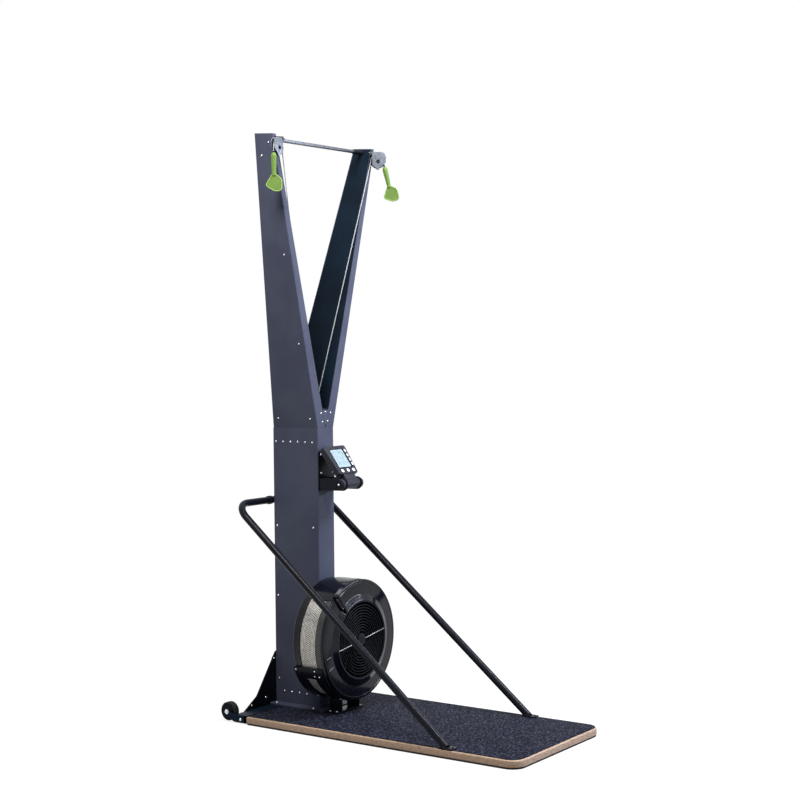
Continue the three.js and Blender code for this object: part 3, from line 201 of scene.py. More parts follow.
def turned(
    profile: Sequence[Pair] | Array,
    axis: Axis,
    centre: Triple = (0, 0, 0),
    sides: int = 96,
    wrap: bool = False,
) -> Form:
    """A turned body: a point is radius times the cosine and sine of its angle, at its height.

    Args:
        profile: (radius, place along the axis) pairs, from pole to pole, or a closed ring.
        axis: the axis of turning.
        centre: where the axis passes, added to every point.
        sides: steps round the axis.
        wrap: whether the profile closes on itself.

    Returns:
        The body.
    """
    radius, along = np.asarray(profile, float).T[:, :, None]
    cosine, sine = circle(sides)
    points = axis.place(radius * cosine, radius * sine, along)
    return grid(points + np.asarray(centre, float), wrap_rows=wrap, wrap_columns=True)


def softened(profile: Sequence[Triple], steps: int = 4) -> Array:
    """Rounds the corners of a line.

    A round's points lie on the quadratic curve from one end of the round through the corner
    to the other end, which stays inside the two sides.

    Args:
        profile: (a, b, radius) corners.
        steps: steps in each round.

    Returns:
        (count, 2) points.
    """
    corners = np.asarray(profile, float)
    points = [corners[:1, :2]]
    share = np.linspace(0, 1, steps + 1)[:, None]
    for before, here, after in zip(corners[:-2], corners[1:-1], corners[2:]):
        to_before, to_after = before[:2] - here[:2], after[:2] - here[:2]
        reach = min(here[2], np.hypot(*to_before) / 2, np.hypot(*to_after) / 2)
        first = here[:2] + to_before / np.hypot(*to_before) * reach
        last = here[:2] + to_after / np.hypot(*to_after) * reach
        curve = (1 - share) ** 2 * first + 2 * share * (1 - share) * here[:2] + share**2 * last
        points.append(curve if here[2] > 0 else here[None, :2])
    return np.vstack([*points, corners[-1:, :2]])


def mirrored(half: Sequence[Triple], middle: float = 0) -> list[Triple]:
    """A line of (radius, place, round) corners, and then its mirror image in a middle place."""
    return [*half, *((radius, 2 * middle - place, soft) for radius, place, soft in reversed(half))]


def outline_of(corners: Sequence[Triple], steps: int = 8) -> Array:
    """Rounds the corners of a closed outline by true arcs.

    Args:
        corners: (across, up, radius) corners.
        steps: steps in each arc.

    Returns:
        (count, 2) points, counter-clockwise.
    """
    table = np.array(corners, float)
    points = []
    for before, here, after in zip(np.roll(table, 1, 0), table, np.roll(table, -1, 0)):
        if here[2] <= 0:
            points.append(here[None, :2])
            continue
        first, last = before[:2] - here[:2], after[:2] - here[:2]
        room = min(np.hypot(*first), np.hypot(*last)) / 2
        first, last = first / np.hypot(*first), last / np.hypot(*last)
        half = np.arccos(np.clip(first @ last, -1, 1)) / 2
        reach = min(here[2] / np.tan(half), room)
        centre = here[:2] + (first + last) / np.hypot(*(first + last)) * reach / np.cos(half)
        start, end = here[:2] + first * reach - centre, here[:2] + last * reach - centre
        sweep = np.arctan2(start[0] * end[1] - start[1] * end[0], start @ end)
        angle = np.linspace(0, sweep, steps + 1)
        across = start[0] * np.cos(angle) - start[1] * np.sin(angle)
        up = start[0] * np.sin(angle) + start[1] * np.cos(angle)
        points.append(np.stack([across, up], axis=-1) + centre)
    outline = np.vstack(points)
    after = np.roll(outline, -1, 0)
    area = np.sum(outline[:, 0] * after[:, 1] - outline[:, 1] * after[:, 0])
    return outline if area > 0 else outline[::-1]


def oblong(across: Pair, up: Pair, soft: float, steps: int = 8) -> Array:
    """The outline of an oblong with rounded corners.

    Args:
        across: its left and right.
        up: its bottom and top.
        soft: the corners' radius.
        steps: steps in each corner.

    Returns:
        (count, 2) points.
    """
    (left, right), (low, high) = across, up
    corners = [(left, low, soft), (right, low, soft), (right, high, soft), (left, high, soft)]
    return outline_of(corners, steps)


def inset_outline(outline: Array, inset: Array) -> Array:
    """Draws a counter-clockwise outline in.

    Each point moves along the mitre of its two sides, so each side moves in by the inset.

    Args:
        outline: (count, 2) points.
        inset: the insets.

    Returns:
        (insets, count, 2) points.
    """
    sides = np.roll(outline, -1, 0) - outline
    sides /= np.maximum(np.hypot(sides[:, 0], sides[:, 1]), 1e-9)[:, None]
    inward = np.stack([-sides[:, 1], sides[:, 0]], axis=-1)
    both = inward + np.roll(inward, 1, 0)
    mitre = both / np.maximum(np.sum(both * both, axis=1) / 2, 0.4)[:, None]
    return outline[None] + inset[:, None, None] * mitre[None]


def slab(outline: Array, axis: Axis, span: Pair, low_round: float = 0.8, high_round: float = 0.8) -> Form:
    """A plate whose two rims are rounded: rings of the outline, drawn in by a quarter circle.

    Args:
        outline: (count, 2) points, counter-clockwise.
        axis: the direction of its thickness.
        span: where its two faces lie.
        low_round: the radius of its lower rim.
        high_round: the radius of its upper rim.

    Returns:
        The plate.
    """
    low, high = min(span), max(span)
    angle = np.linspace(0, np.pi / 2, 5)
    bulge, rise = 1 - np.sin(angle), 1 - np.cos(angle)
    inset = np.concatenate([low_round * bulge, high_round * rise])
    along = np.concatenate([low + low_round * rise, high - high_round * bulge])
    rings = inset_outline(outline, inset)
    return capped(axis.place(rings[..., 0], rings[..., 1], along[:, None]))


def block(x: Pair, y: Pair, z: Pair, soft: float = 0.6) -> Form:
    """A block with rounded edges along Z and on both ends."""
    return slab(oblong(x, y, soft, 3), Axis.Z, z, soft, soft)


def swept(path: Array, radius: Array | float, sides: int, sideways: Triple) -> Form:
    """A round bar along a path: at each point a circle square to the path's direction.

    Args:
        path: (count, 3) points.
        radius: one radius, or one for each point.
        sides: steps round the bar.
        sideways: a direction that the path never runs along.

    Returns:
        The bar, closed at both ends.
    """
    ahead = np.gradient(path, axis=0)
    ahead /= np.linalg.norm(ahead, axis=1)[:, None]
    right = np.cross(ahead, np.asarray(sideways, float))
    right /= np.linalg.norm(right, axis=1)[:, None]
    cosine, sine = circle(sides)
    ring = cosine[:, None] * right[:, None] + sine[:, None] * np.cross(right, ahead)[:, None]
    size = np.broadcast_to(np.asarray(radius, float), (len(path),))
    return capped(path[:, None] + size[:, None, None] * ring)


def bar(start: Triple, end: Triple, radius: float, sides: int = 24, soft: float = 0.5) -> Form:
    """A straight round bar, swept with a radius that follows a quarter circle at both ends.

    Args:
        start: the middle of one end.
        end: the middle of the other end.
        radius: the bar's radius.
        sides: steps round the bar.
        soft: the radius of the rims.

    Returns:
        The bar.
    """
    begin, way = np.asarray(start, float), np.asarray(end, float) - np.asarray(start, float)
    length = np.linalg.norm(way)
    angle = np.linspace(0, np.pi / 2, 4)
    along = np.concatenate([soft * (1 - np.cos(angle)), length - soft * (1 - np.sin(angle))])
    size = radius - soft + soft * np.concatenate([np.sin(angle), np.cos(angle)])
    sideways = np.roll(np.round(np.abs(way / length)), 1) + np.array([0.013, 0.007, 0.003])
    return swept(begin + way * (along / length)[:, None], size, sides, tuple(sideways))


def closed_tube(ring: Array, radius: Array | float, facing: Triple = (0, 0, 1)) -> Form:
    """A bead along a closed flat ring: at each point a circle square to the ring.

    Args:
        ring: (count, 3) points.
        radius: one radius, or one for each point.
        facing: the direction that the ring's plane faces.

    Returns:
        The bead.
    """
    ahead = np.roll(ring, -1, 0) - np.roll(ring, 1, 0)
    ahead /= np.maximum(np.linalg.norm(ahead, axis=1), 1e-9)[:, None]
    up = np.array(facing, float)
    cosine, sine = circle(8)
    section = cosine[:, None] * np.cross(ahead, up)[:, None] + sine[:, None] * up
    size = np.broadcast_to(np.asarray(radius, float), (len(ring),))
    return grid(ring[:, None] + size[:, None, None] * section, wrap_rows=True, wrap_columns=True)


def bend(before: Array, corner: Array, after: Array, radius: float, steps: int = 20) -> Array:
    """The arc of a pipe bend: the points at equal angles round the bend's centre.

    Args:
        before: a point on the run up to the bend.
        corner: where the two runs' middle lines meet.
        after: a point on the run past the bend.
        radius: the bend's radius.
        steps: the number of points.

    Returns:
        (steps, 3) points.
    """
    first, last = before - corner, after - corner
    first, last = first / np.linalg.norm(first), last / np.linalg.norm(last)
    half = np.arccos(first @ last) / 2
    middle = (first + last) / np.linalg.norm(first + last)
    centre = corner + middle * radius / np.sin(half)
    out = corner + first * radius / np.tan(half) - centre
    end = corner + last * radius / np.tan(half) - centre
    axis = np.cross(out, end)
    side = np.cross(axis / np.linalg.norm(axis), out)
    sweep = np.linspace(0, np.arccos(out @ end / radius**2), steps)
    return centre + np.cos(sweep)[:, None] * out + np.sin(sweep)[:, None] * side


def turn_to(facing: Array | Triple) -> Array:
    """The turn that takes +Z to a direction: its columns are right, over and ahead.

    Args:
        facing: the direction.

    Returns:
        A 3 x 3 matrix.
    """
    ahead = np.asarray(facing, float) / np.linalg.norm(facing)
    helper = np.array([0.0, 0.0, 1.0]) if abs(ahead[2]) < 0.9 else np.array([1.0, 0.0, 0.0])
    right = np.cross(helper, ahead)
    right /= np.linalg.norm(right)
    return np.stack([right, np.cross(ahead, right), ahead], axis=-1)


def turn_about(axis: Axis, degrees: float) -> Array:
    """The turn by an angle about one of the three axes.

    Args:
        axis: the axis.
        degrees: the angle.

    Returns:
        A 3 x 3 matrix.
    """
    cosine, sine = np.cos(np.radians(degrees)), np.sin(np.radians(degrees))
    tables = {
        Axis.X: [[1, 0, 0], [0, cosine, -sine], [0, sine, cosine]],
        Axis.Y: [[cosine, 0, sine], [0, 1, 0], [-sine, 0, cosine]],
        Axis.Z: [[cosine, -sine, 0], [sine, cosine, 0], [0, 0, 1]],
    }
    return np.array(tables[axis])


def fasteners(head: Head, radius: float, height: float, facing: Triple, places: Sequence[Triple]) -> Form:
    """Screw heads with a six-sided socket.

    A ring's radius is its share of the head's radius, and a hexagon's where the ring is one:
    the apothem over the cosine of the angle from the nearest flat's middle.

    Args:
        head: the kind of head.
        radius: the head's radius, to the flats of a hexagon.
        height: the head's height.
        facing: the direction that the heads look along.
        places: the middle of each head's seat.

    Returns:
        All heads as one form.
    """
    sides = 24
    cosine, sine = circle(sides)
    flat = (np.linspace(0, 2 * np.pi, sides, endpoint=False) + np.pi / 6) % (np.pi / 3) - np.pi / 6
    hexagon = np.cos(np.pi / 6) / np.cos(flat)
    table = np.array(head.value, float)
    size = np.broadcast_to(table[:, :1], (len(table), sides)).copy()
    if head is Head.HEX:
        size[3:] *= hexagon
    socket = 0.46 * np.vstack([hexagon, hexagon * 0.98, hexagon * 0])
    size = np.vstack([size, socket]) * radius
    tall = np.concatenate([table[:, 1], [1.0, 0.42, 0.36]]) * height
    points = Axis.Z.place(size * cosine, size * sine, tall[:, None])
    return grid(points, wrap_columns=True).moved(turn_to(facing), (0, 0, 0)).copies(places)


# Finishes


def linear(code: str) -> tuple[float, float, float, float]:
    """Turns an sRGB colour into a linear one, by the straight and the curved part of its scale.

    Args:
        code: the colour, such as #8cc04a.

    Returns:
        Red, green, blue and alpha.
    """
    values = np.array([int(code[k : k + 2], 16) for k in (1, 3, 5)]) / 255
    light = np.where(values <= 0.04045, values / 12.92, ((values + 0.055) / 1.055) ** 2.4)
    return (*(float(value) for value in light), 1.0)


def add_node(tree: Tree, kind: str, inputs: Inputs | None = None, **settings: Any) -> Sockets:
    """Adds a node, sets it and links it.

    Args:
        tree: the node tree.
        kind: the node's type, without the ShaderNode in front.
        inputs: for each input's name or number, a value, or the socket to link.
        settings: the node's own properties.

    Returns:
        The node's outputs.
    """
    made = tree.nodes.new("ShaderNode" + kind)
    for name, value in settings.items():
        setattr(made, name, value)
    for name, value in (inputs or {}).items():
        if isinstance(value, Socket):
            tree.links.new(value, made.inputs[name])
        else:
            made.inputs[name].default_value = value
    return made.outputs


@dataclass(frozen=True)
class Finish:
    """A finish, made into one material the first time that it is used.

    Args:
        name: the material's name, after the real finish.
        slot: the record's slot that the finish belongs to; not used.
        colour: its main colour.
        tint: the colour that its clouds lead to.
        roughness: how dull it is.
        grain: how wide its skin's grain is, in millimetres.
        relief: how deep the grain is, in millimetres.
        sheen: how much it mirrors, where 0.5 is the default IOR's.
        metallic: 1 for bare metal.
        clouds: the noise of its colour: millimetres wide, detail, and where it sets in and ends.
        patches: the noise of its gloss, in the same way.
        spread: what the patches add to the roughness, at their low and their high end.
        skin: the grain's detail, and how strongly it shows.
        draw: how the gloss and the grain are drawn out along X, Y and Z: less is longer.
        pattern: the kind of texture that the grain is.
        coat: how much clear lacquer lies on it.
        fuzz: how much light its fibres catch at a grazing angle.
    """

    name: str
    slot: str
    colour: str
    tint: str
    roughness: float = 0.4
    grain: float = 0.9
    relief: float = 0.0
    sheen: float = 0.5
    metallic: float = 0.0
    clouds: Noise = (60, 2, 0.3, 0.7)
    patches: Noise = (14, 4, 0.3, 0.7)
    spread: Pair = (-0.04, 0.06)
    skin: Pair = (1, 0.5)
    draw: Triple = (1.0, 1.0, 1.0)
    pattern: str = "TexNoise"
    coat: float = 0.0
    fuzz: float = 0.0

    def material(self) -> bpy.types.Material:
        """Makes the finish's material, or finds it.

        Returns:
            The material.
        """
        made = bpy.data.materials.get(self.name)
        if made is None:
            made = bpy.data.materials.new(self.name)
            made.use_nodes = True
            made.diffuse_color = linear(self.colour)
            tree = made.node_tree
            tree.nodes.clear()
            surface = self.surface(tree, add_node(tree, "TexCoord"))
            shader = add_node(tree, "BsdfPrincipled", surface)[0]
            add_node(tree, "OutputMaterial", {"Surface": shader})
        return made

    def levels(self, tree: Tree, place: Sockets) -> tuple[Socket, Socket | float, Socket]:
        """Clouds for the colour, patches for the gloss and a grain, each from its own noise.

        Args:
            tree: the material's nodes.
            place: the texture coordinates.

        Returns:
            The tint's share, the roughness and the height.
        """
        spot = place["Object"]
        drawn = add_node(tree, "Mapping", {"Vector": spot, "Scale": self.draw})[0]
        dull = [self.roughness + step for step in self.spread]
        levels = []
        for where, noise, ends in ((spot, self.clouds, (0, 1)), (drawn, self.patches, dull)):
            size, detail, first, last = noise
            waves = {"Vector": where, "Scale": PER_METRE / size, "Detail": detail}
            height = add_node(tree, "TexNoise", waves)[0]
            span = {0: height, 1: first, 2: last, 3: ends[0], 4: ends[1]}
            levels.append(add_node(tree, "MapRange", span)[0])
        waves = {"Vector": drawn, "Scale": PER_METRE / self.grain, "Detail": self.skin[0]}
        return (*levels, add_node(tree, self.pattern, waves)[0])

    def surface(self, tree: Tree, place: Sockets) -> Inputs:
        """The shader's inputs: a mix of two colours, and a bump of so many millimetres.

        Args:
            tree: the material's nodes.
            place: the texture coordinates.

        Returns:
            Values and sockets.
        """
        share, dull, height = self.levels(tree, place)
        colours = {0: share, 6: linear(self.colour), 7: linear(self.tint)}
        relief = {"Height": height, "Distance": self.relief * METRES, "Strength": self.skin[1]}
        return {
            "Base Color": add_node(tree, "Mix", colours, data_type="RGBA")[2],
            "Roughness": dull,
            "Normal": add_node(tree, "Bump", relief)[0],
            "Specular IOR Level": self.sheen,
            "Metallic": self.metallic,
            "Coat Weight": self.coat,
            "Sheen Weight": self.fuzz,
        }


@dataclass(frozen=True)
class PowderCoat(Finish):
    """Powder-coated steel: polyester powder, sprayed on and baked.

    It gives an even colour and a sheen that is broken by flecks and a fine orange peel.
    """

    roughness: float = 0.46
    grain: float = 1.6
    relief: float = 0.05
    sheen: float = 0.14
    clouds: Noise = (140, 3, 0.35, 0.65)
    patches: Noise = (9, 3, 0.3, 0.7)
    spread: Pair = (-0.05, 0.07)
    skin: Pair = (2, 0.55)


@dataclass(frozen=True)
class MouldedPlastic(Finish):
    """Injection-moulded plastic: its skin is the steel mould's, spark-eroded or polished.

    It gives a soft or a glossy sheen over a fine grain, with faint marks of the flow.
    """

    relief: float = 0.03
    sheen: float = 0.16


@dataclass(frozen=True)
class PlatedSteel(Finish):
    """Metal, drawn or rolled and then plated.

    It gives a satin grey with fine lines along X, drawn 16 times as long as they are wide,
    and a cloudy tone. It keeps the default IOR.
    """

    roughness: float = 0.34
    grain: float = 0.8
    relief: float = 0.02
    metallic: float = 1.0
    clouds: Noise = (12, 3, 0.35, 0.65)
    patches: Noise = (0.8, 3, 0.3, 0.7)
    spread: Pair = (-0.06, 0.1)
    skin: Pair = (3, 0.4)
    draw: Triple = (0.06, 1.0, 1.0)


@dataclass(frozen=True)
class Rubber(Finish):
    """Solid rubber, cured in a mould.

    It gives a matt black that is greyed a little by dust, where it is also duller.
    """

    roughness: float = 0.62
    grain: float = 1.2
    relief: float = 0.05
    sheen: float = 0.2
    clouds: Noise = (18, 4, 0.45, 0.7)
    patches: Noise = (18, 4, 0.45, 0.7)
    spread: Pair = (0, 0.18)
    skin: Pair = (2, 0.6)


@dataclass(frozen=True)
class Display(Finish):
    """Liquid-crystal glass: a thin cell between polished panes, behind a clear window.

    It gives a flat, slowly clouded green-grey with a smooth sheen and no relief.
    """

    roughness: float = 0.22
    sheen: float = 0.3
    clouds: Noise = (24, 3, 0.3, 0.7)
    patches: Noise = (1.5, 1, 0.3, 0.7)
    spread: Pair = (0, 0.12)


@dataclass(frozen=True)
class Plywood(Finish):
    """Lacquered plywood: rotary-cut veneers glued crosswise, sawn at the edge and lacquered.

    The edge shows thin bands, light and dark in turn, with fibres and open pores. Sizes are in
    millimetres. Real pores are under 1 mm wide and are drawn 4.5 mm so that they show.
    """

    roughness: float = 0.42
    grain: float = 4
    relief: float = 0.12
    spread: Pair = (0, 0.18)
    draw: Triple = (0.25, 0.25, 3.0)
    coat: float = 0.15
    veneer: float = 2.9
    waver: float = 70
    waver_height: float = 0.6
    pore: float = 4.5

    def levels(self, tree: Tree, place: Sockets) -> tuple[Socket, Socket | float, Socket]:
        """Bands by height, fibres drawn out along the edge, and dark specks of end grain.

        The band is a saw of the height, up and down once in two veneers. The dark share is
        the sum of fibre, band and pores, each times its weight.

        Args:
            tree: the material's nodes.
            place: the texture coordinates.

        Returns:
            The tint's share, the roughness and the height.
        """
        spot, thick = place["Object"], self.veneer * METRES
        drawn = add_node(tree, "Mapping", {"Vector": spot, "Scale": self.draw})[0]
        noises = []
        for where, size, detail in ((spot, self.waver, 2), (drawn, self.grain, 4), (drawn, self.pore, 2)):
            waves = {"Vector": where, "Scale": PER_METRE / size, "Detail": detail}
            noises.append(add_node(tree, "TexNoise", waves)[0])
        height = add_node(tree, "SeparateXYZ", {0: spot})[2]
        line = {0: noises[0], 1: self.waver_height * METRES, 2: height}
        level = add_node(tree, "Math", line, operation="MULTIPLY_ADD")[0]
        saw = add_node(tree, "Math", {0: level, 1: thick}, operation="PINGPONG")[0]
        band = add_node(tree, "MapRange", {0: saw, 1: 0.35 * thick, 2: 0.65 * thick})[0]
        fibre = add_node(tree, "MapRange", {0: noises[1], 1: 0.35, 2: 0.7})[0]
        pores = add_node(tree, "MapRange", {0: noises[2], 1: 0.54, 2: 0.64})[0]
        wood = add_node(tree, "Math", {0: band, 1: 0.35, 2: fibre}, operation="MULTIPLY_ADD")[0]
        tone = add_node(tree, "MapRange", {0: wood, 1: 0, 2: 1.35, 3: 0, 4: 0.75})[0]
        weights = {0: pores, 1: 0.5, 2: tone}
        share = add_node(tree, "Math", weights, operation="MULTIPLY_ADD", use_clamp=True)[0]
        dull = {0: fibre, 3: self.roughness, 4: self.roughness + self.spread[1]}
        return share, add_node(tree, "MapRange", dull)[0], wood


@dataclass(frozen=True)
class GripSheet(Finish):
    """Non-slip vinyl sheet: soft PVC with coloured chips, rolled with a pebble pattern.

    It is matt, with paler and darker flecks. Real flecks are about 2 mm wide, less than a
    pixel, and are drawn 6 and 7.5 mm so that they show. The grain is the pebbles' size.
    """

    roughness: float = 0.78
    grain: float = 2.4
    relief: float = 0.35
    sheen: float = 0.05
    clouds: Noise = (6, 1, 0.53, 0.62)
    patches: Noise = (6, 1, 0.53, 0.62)
    spread: Pair = (0, -0.16)
    skin: Pair = (0, 0.7)
    pattern: str = "TexVoronoi"
    dark: str = "#0b0c12"
    hollows: Noise = (7.5, 1, 0.5, 0.36)

    def surface(self, tree: Tree, place: Sockets) -> Inputs:
        """The pale flecks and pebbles, with dark flecks mixed over them.

        Args:
            tree: the material's nodes.
            place: the texture coordinates.

        Returns:
            The shader's inputs.
        """
        inputs = super().surface(tree, place)
        size, detail, first, last = self.hollows
        waves = {"Vector": place["Object"], "Scale": PER_METRE / size, "Detail": detail}
        height = add_node(tree, "TexNoise", waves)[0]
        deep = add_node(tree, "MapRange", {0: height, 1: first, 2: last})[0]
        colours = {0: deep, 6: inputs["Base Color"], 7: linear(self.dark)}
        inputs["Base Color"] = add_node(tree, "Mix", colours, data_type="RGBA")[2]
        return inputs


@dataclass(frozen=True)
class BraidedCord(Finish):
    """Braided polyester: two sets of strands cross over each other, a strand about 1.6 mm wide.

    It gives a pale, dry cord with a diamond pattern. Turns and rows are how often the strands
    go round the cord and how many cross along its whole length.
    """

    roughness: float = 0.72
    relief: float = 0.3
    skin: Pair = (0, 0.6)
    fuzz: float = 0.2
    turns: float = 4.0
    rows: float = 600.0

    def levels(self, tree: Tree, place: Sockets) -> tuple[Socket, Socket | float, Socket]:
        """Diamonds where the two sets of strands cross, from the cord's own chart.

        Each set is a saw of the place along the cord, up or down, plus the place round it,
        and the weave is the two saws' sum.

        Args:
            tree: the material's nodes.
            place: the texture coordinates.

        Returns:
            The tint's share, the roughness and the height.
        """
        along, around, _ = add_node(tree, "SeparateXYZ", {0: place["UV"]})
        across = add_node(tree, "Math", {0: around, 1: self.turns}, operation="MULTIPLY")[0]
        saws = []
        for rows in (self.rows, -self.rows):
            line = {0: along, 1: rows, 2: across}
            phase = add_node(tree, "Math", line, operation="MULTIPLY_ADD")[0]
            saws.append(add_node(tree, "Math", {0: phase, 1: 0.5}, operation="PINGPONG")[0])
        weave = add_node(tree, "Math", {0: saws[0], 1: saws[1]}, operation="ADD")[0]
        share = add_node(tree, "MapRange", {0: weave, 1: 0.3, 2: 0.75, 3: 1, 4: 0})[0]
        return share, self.roughness, weave


# Baked polyester on the column and arms: a flat blue-grey with a soft, broken sheen.
COLUMN_PAINT = PowderCoat("powder_coat_charcoal_blue", "column_paint", "#43475a", "#4b5062")
# Baked polyester on the beam and inner covers: a deep navy that mirrors little.
DARK_PAINT = PowderCoat("powder_coat_dark_slate", "dark_paint", "#0e1925", "#132130", sheen=0.06)
# A smoother black coat on the tube and brackets: near black, with a narrow highlight.
BLACK_PAINT = PowderCoat(
    "powder_coat_black", "black_paint", "#11131b", "#171a24", roughness=0.24, relief=0.02, sheen=0.09
)
# Textured black mouldings: dull black.
BLACK_PLASTIC = MouldedPlastic("moulded_abs_black", "black_plastic", "#101218", "#161820", 0.42, sheen=0.07)
# The polished fan housing: deep black with sharp, bluish highlights.
GLOSS_PLASTIC = MouldedPlastic(
    "gloss_abs_black", "black_plastic", "#080a12", "#0d101b", 0.12, 1.4, 0.003, 0.2
)
# The monitor's textured case: dark grey and dull.
CASE_PLASTIC = MouldedPlastic("moulded_abs_graphite", "black_plastic", "#23252d", "#2b2e37", 0.46)
# The handle's soft nylon: an even olive green.
GREEN_PLASTIC = MouldedPlastic("soft_nylon_green", "handle_green", "#5f7d3a", "#6a8842", 0.46, 1.1, 0.05)
# The bead round the handle: the same nylon, painted a shade paler as a painted highlight where light
# catches its edge.
HIGHLIGHT_GREEN = MouldedPlastic("nylon_bead_painted_highlight", "handle_green", "#8ca85f", "#97b26b", 0.42, 1.1)
# Silicone keys and buttons: soft white with no hard highlight.
KEY_PLASTIC = MouldedPlastic("silicone_white", "key_white", "#eceef0", "#dfe2e6", 0.5, 1.4, 0.02)
# Printed marks of the damper's scale: flat mid grey.
SCALE_PRINT = MouldedPlastic("grey_scale_marks", "black_plastic", "#85888e", "#8d9096", 0.5)
# Zinc-plated wire, shaft and nuts: satin light grey.
SILVER = PlatedSteel("zinc_plated_steel", "silver_metal", "#b4b8bd", "#8b8f94")
# Blackened bolt heads: dark grey with a dull shine.
DARK_STEEL = PlatedSteel("blackened_steel", "silver_metal", "#202328", "#17191e", 0.45)
# The pulley bracket's stamped cheeks: a duller, bluish plating.
CHEEK_STEEL = PlatedSteel("dull_plated_cheeks", "silver_metal", "#8c929c", "#747a84")
# The rod between the arms, drawn through a die: middle grey with one soft streak of light.
ROD_STEEL = PlatedSteel("satin_drawn_rod", "silver_metal", "#74787f", "#62666c", 0.42)
# Screws of bright zinc: small, pale and shiny.
BRIGHT = PlatedSteel("bright_zinc_screws", "silver_metal", "#dfe2e6", "#c4c8cd", 0.26)
# The fan band's punched sheet, rolled and brushed dull: pale grey between its dark holes.
MESH_METAL = PlatedSteel(
    "perforated_aluminium", "band_metal", "#dcdad3", "#b9b7b0", 0.5, metallic=0.35
)
# The trim strip round the housing: dark grey, a little lighter than the black beside it.
STRIP_METAL = PlatedSteel("satin_dark_strip", "band_metal", "#3b3c3d", "#323334", 0.5, metallic=0.3)
# Cast aluminium of the wheel, drums and rear bearing: dark, seen only through the holes.
FAN_METAL = PlatedSteel("dark_cast_aluminium", "fan_metal", "#33363b", "#25272c", 0.5, metallic=0.6)
# The board's sawn edge under lacquer: tan and brown bands.
PLYWOOD = Plywood("lacquered_plywood", "plywood", "#cdb29b", "#86603f")
# The mat on the board: blue-black with fine, paler flecks.
GRIP = GripSheet("pebbled_pvc_grip", "grip_vinyl", "#151722", "#434759")
# Tyres and the sheet under the board: matt black.
RUBBER = Rubber("black_rubber", "rubber_black", "#17181b", "#2a2b2f")
# The drive cord's long run, over the pulley and at its end: one braid at three lengths.
CORD = BraidedCord("braided_polyester", "cord_braid", "#c3c7c8", "#7d8284")
WRAP_CORD = BraidedCord("braided_polyester_wrap", "cord_braid", "#c3c7c8", "#7d8284", rows=40)
TAIL_CORD = BraidedCord("braided_polyester_end", "cord_braid", "#c3c7c8", "#7d8284", rows=10)
# The display's cell, and its unlit bars, which are only a shade darker.
GLASS = Display("lcd_cell", "lcd_glass", "#a3b6bf", "#8ea3ab")
SEGMENTS = Display("lcd_segments", "lcd_glass", "#8397a0", "#788c95")


# Pieces


Part = tuple[Form, Finish]


def finished(
    name: str,
    parts: Sequence[Part],
    body: str,
    replaces: Sequence[str] = (),
    crease: float = 38.0,
    dress: Callable[[bpy.types.Object], None] | None = None,
) -> bpy.types.Object:
    """Makes one piece of the object and sets it on its body.

    Args:
        name: the piece's name.
        parts: each form of the piece with its finish.
        body: the body that it rides on.
        replaces: the solids that it stands for.
        crease: the angle in degrees past which an edge stays sharp.
        dress: adds modifiers before the piece rides.

    Returns:
        The piece.
    """
    whole = joined(*(form for form, _ in parts))
    finishes = list(dict.fromkeys(finish for _, finish in parts))
    counts = [sum(len(table) for table in form.faces) for form, _ in parts]
    numbers = np.repeat([finishes.index(finish) for _, finish in parts], counts)
    mesh = bpy.data.meshes.new(name)
    rows = [row for table in whole.faces for row in table.tolist()]
    mesh.from_pydata((whole.points - MIDDLE) * METRES, [], rows)
    mesh.polygons.foreach_set("material_index", numbers.astype(np.int32))
    chart = np.concatenate([table.reshape(-1) for table in whole.charts])
    mesh.uv_layers.new(name="Chart").data.foreach_set("uv", chart)
    for finish in finishes:
        mesh.materials.append(finish.material())
    work = bmesh.new()
    work.from_mesh(mesh)
    bmesh.ops.remove_doubles(work, verts=work.verts, dist=MERGE)
    bmesh.ops.recalc_face_normals(work, faces=work.faces)
    work.to_mesh(mesh)
    work.free()
    mesh.polygons.foreach_set("use_smooth", np.ones(len(mesh.polygons), bool))
    mesh.set_sharp_from_angle(angle=float(np.radians(crease)))
    made = bpy.data.objects.new(name, mesh)
    bpy.context.scene.collection.objects.link(made)
    if dress is not None:
        dress(made)
    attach(made, body)
    if replaces:
        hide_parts(*replaces)
    LOG.info("%s: %d faces on %s", name, len(mesh.polygons), body)
    return made


def kept(names: Sequence[str], finish: Finish, edge: float = 0.8, smooth: bool = False) -> None:
    """Dresses solids whose shape is right: a finish, and the worn radius of their edges.

    Args:
        names: the solids' names.
        finish: their finish.
        edge: the edge radius in millimetres, or 0 for none.
        smooth: whether gentle facets are shaded as one surface.
    """
    flat_angle, edge_angle = np.radians([0.5, 40]).tolist()
    for name in names:
        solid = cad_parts[name]
        solid.data.materials.clear()
        solid.data.materials.append(finish.material())
        solid.modifiers.new("weld", "WELD").merge_threshold = MERGE
        if edge > 0:
            flat = solid.modifiers.new("flats", "DECIMATE")
            flat.decimate_type, flat.angle_limit = "DISSOLVE", flat_angle
            rim = solid.modifiers.new("edges", "BEVEL")
            rim.width, rim.segments = edge * METRES, 2
            rim.limit_method, rim.angle_limit = "ANGLE", edge_angle
            rim.use_clamp_overlap = True
        if smooth or edge > 0:
            solid.modifiers.new("shade", "WEIGHTED_NORMAL").keep_sharp = True
        LOG.info("%s: kept, %s", name, finish.name)


def melted(piece: bpy.types.Object) -> None:
    """Joins overlapping bodies into one smooth moulding: fine voxels, then relaxed corners.

    Args:
        piece: the piece.
    """
    remesh = piece.modifiers.new("melt", "REMESH")
    remesh.mode, remesh.voxel_size = "VOXEL", 0.9 * METRES
    remesh.use_smooth_shade = True
    relax = piece.modifiers.new("relax", "SMOOTH")
    relax.factor, relax.iterations = 0.5, 8


# Sub-assemblies


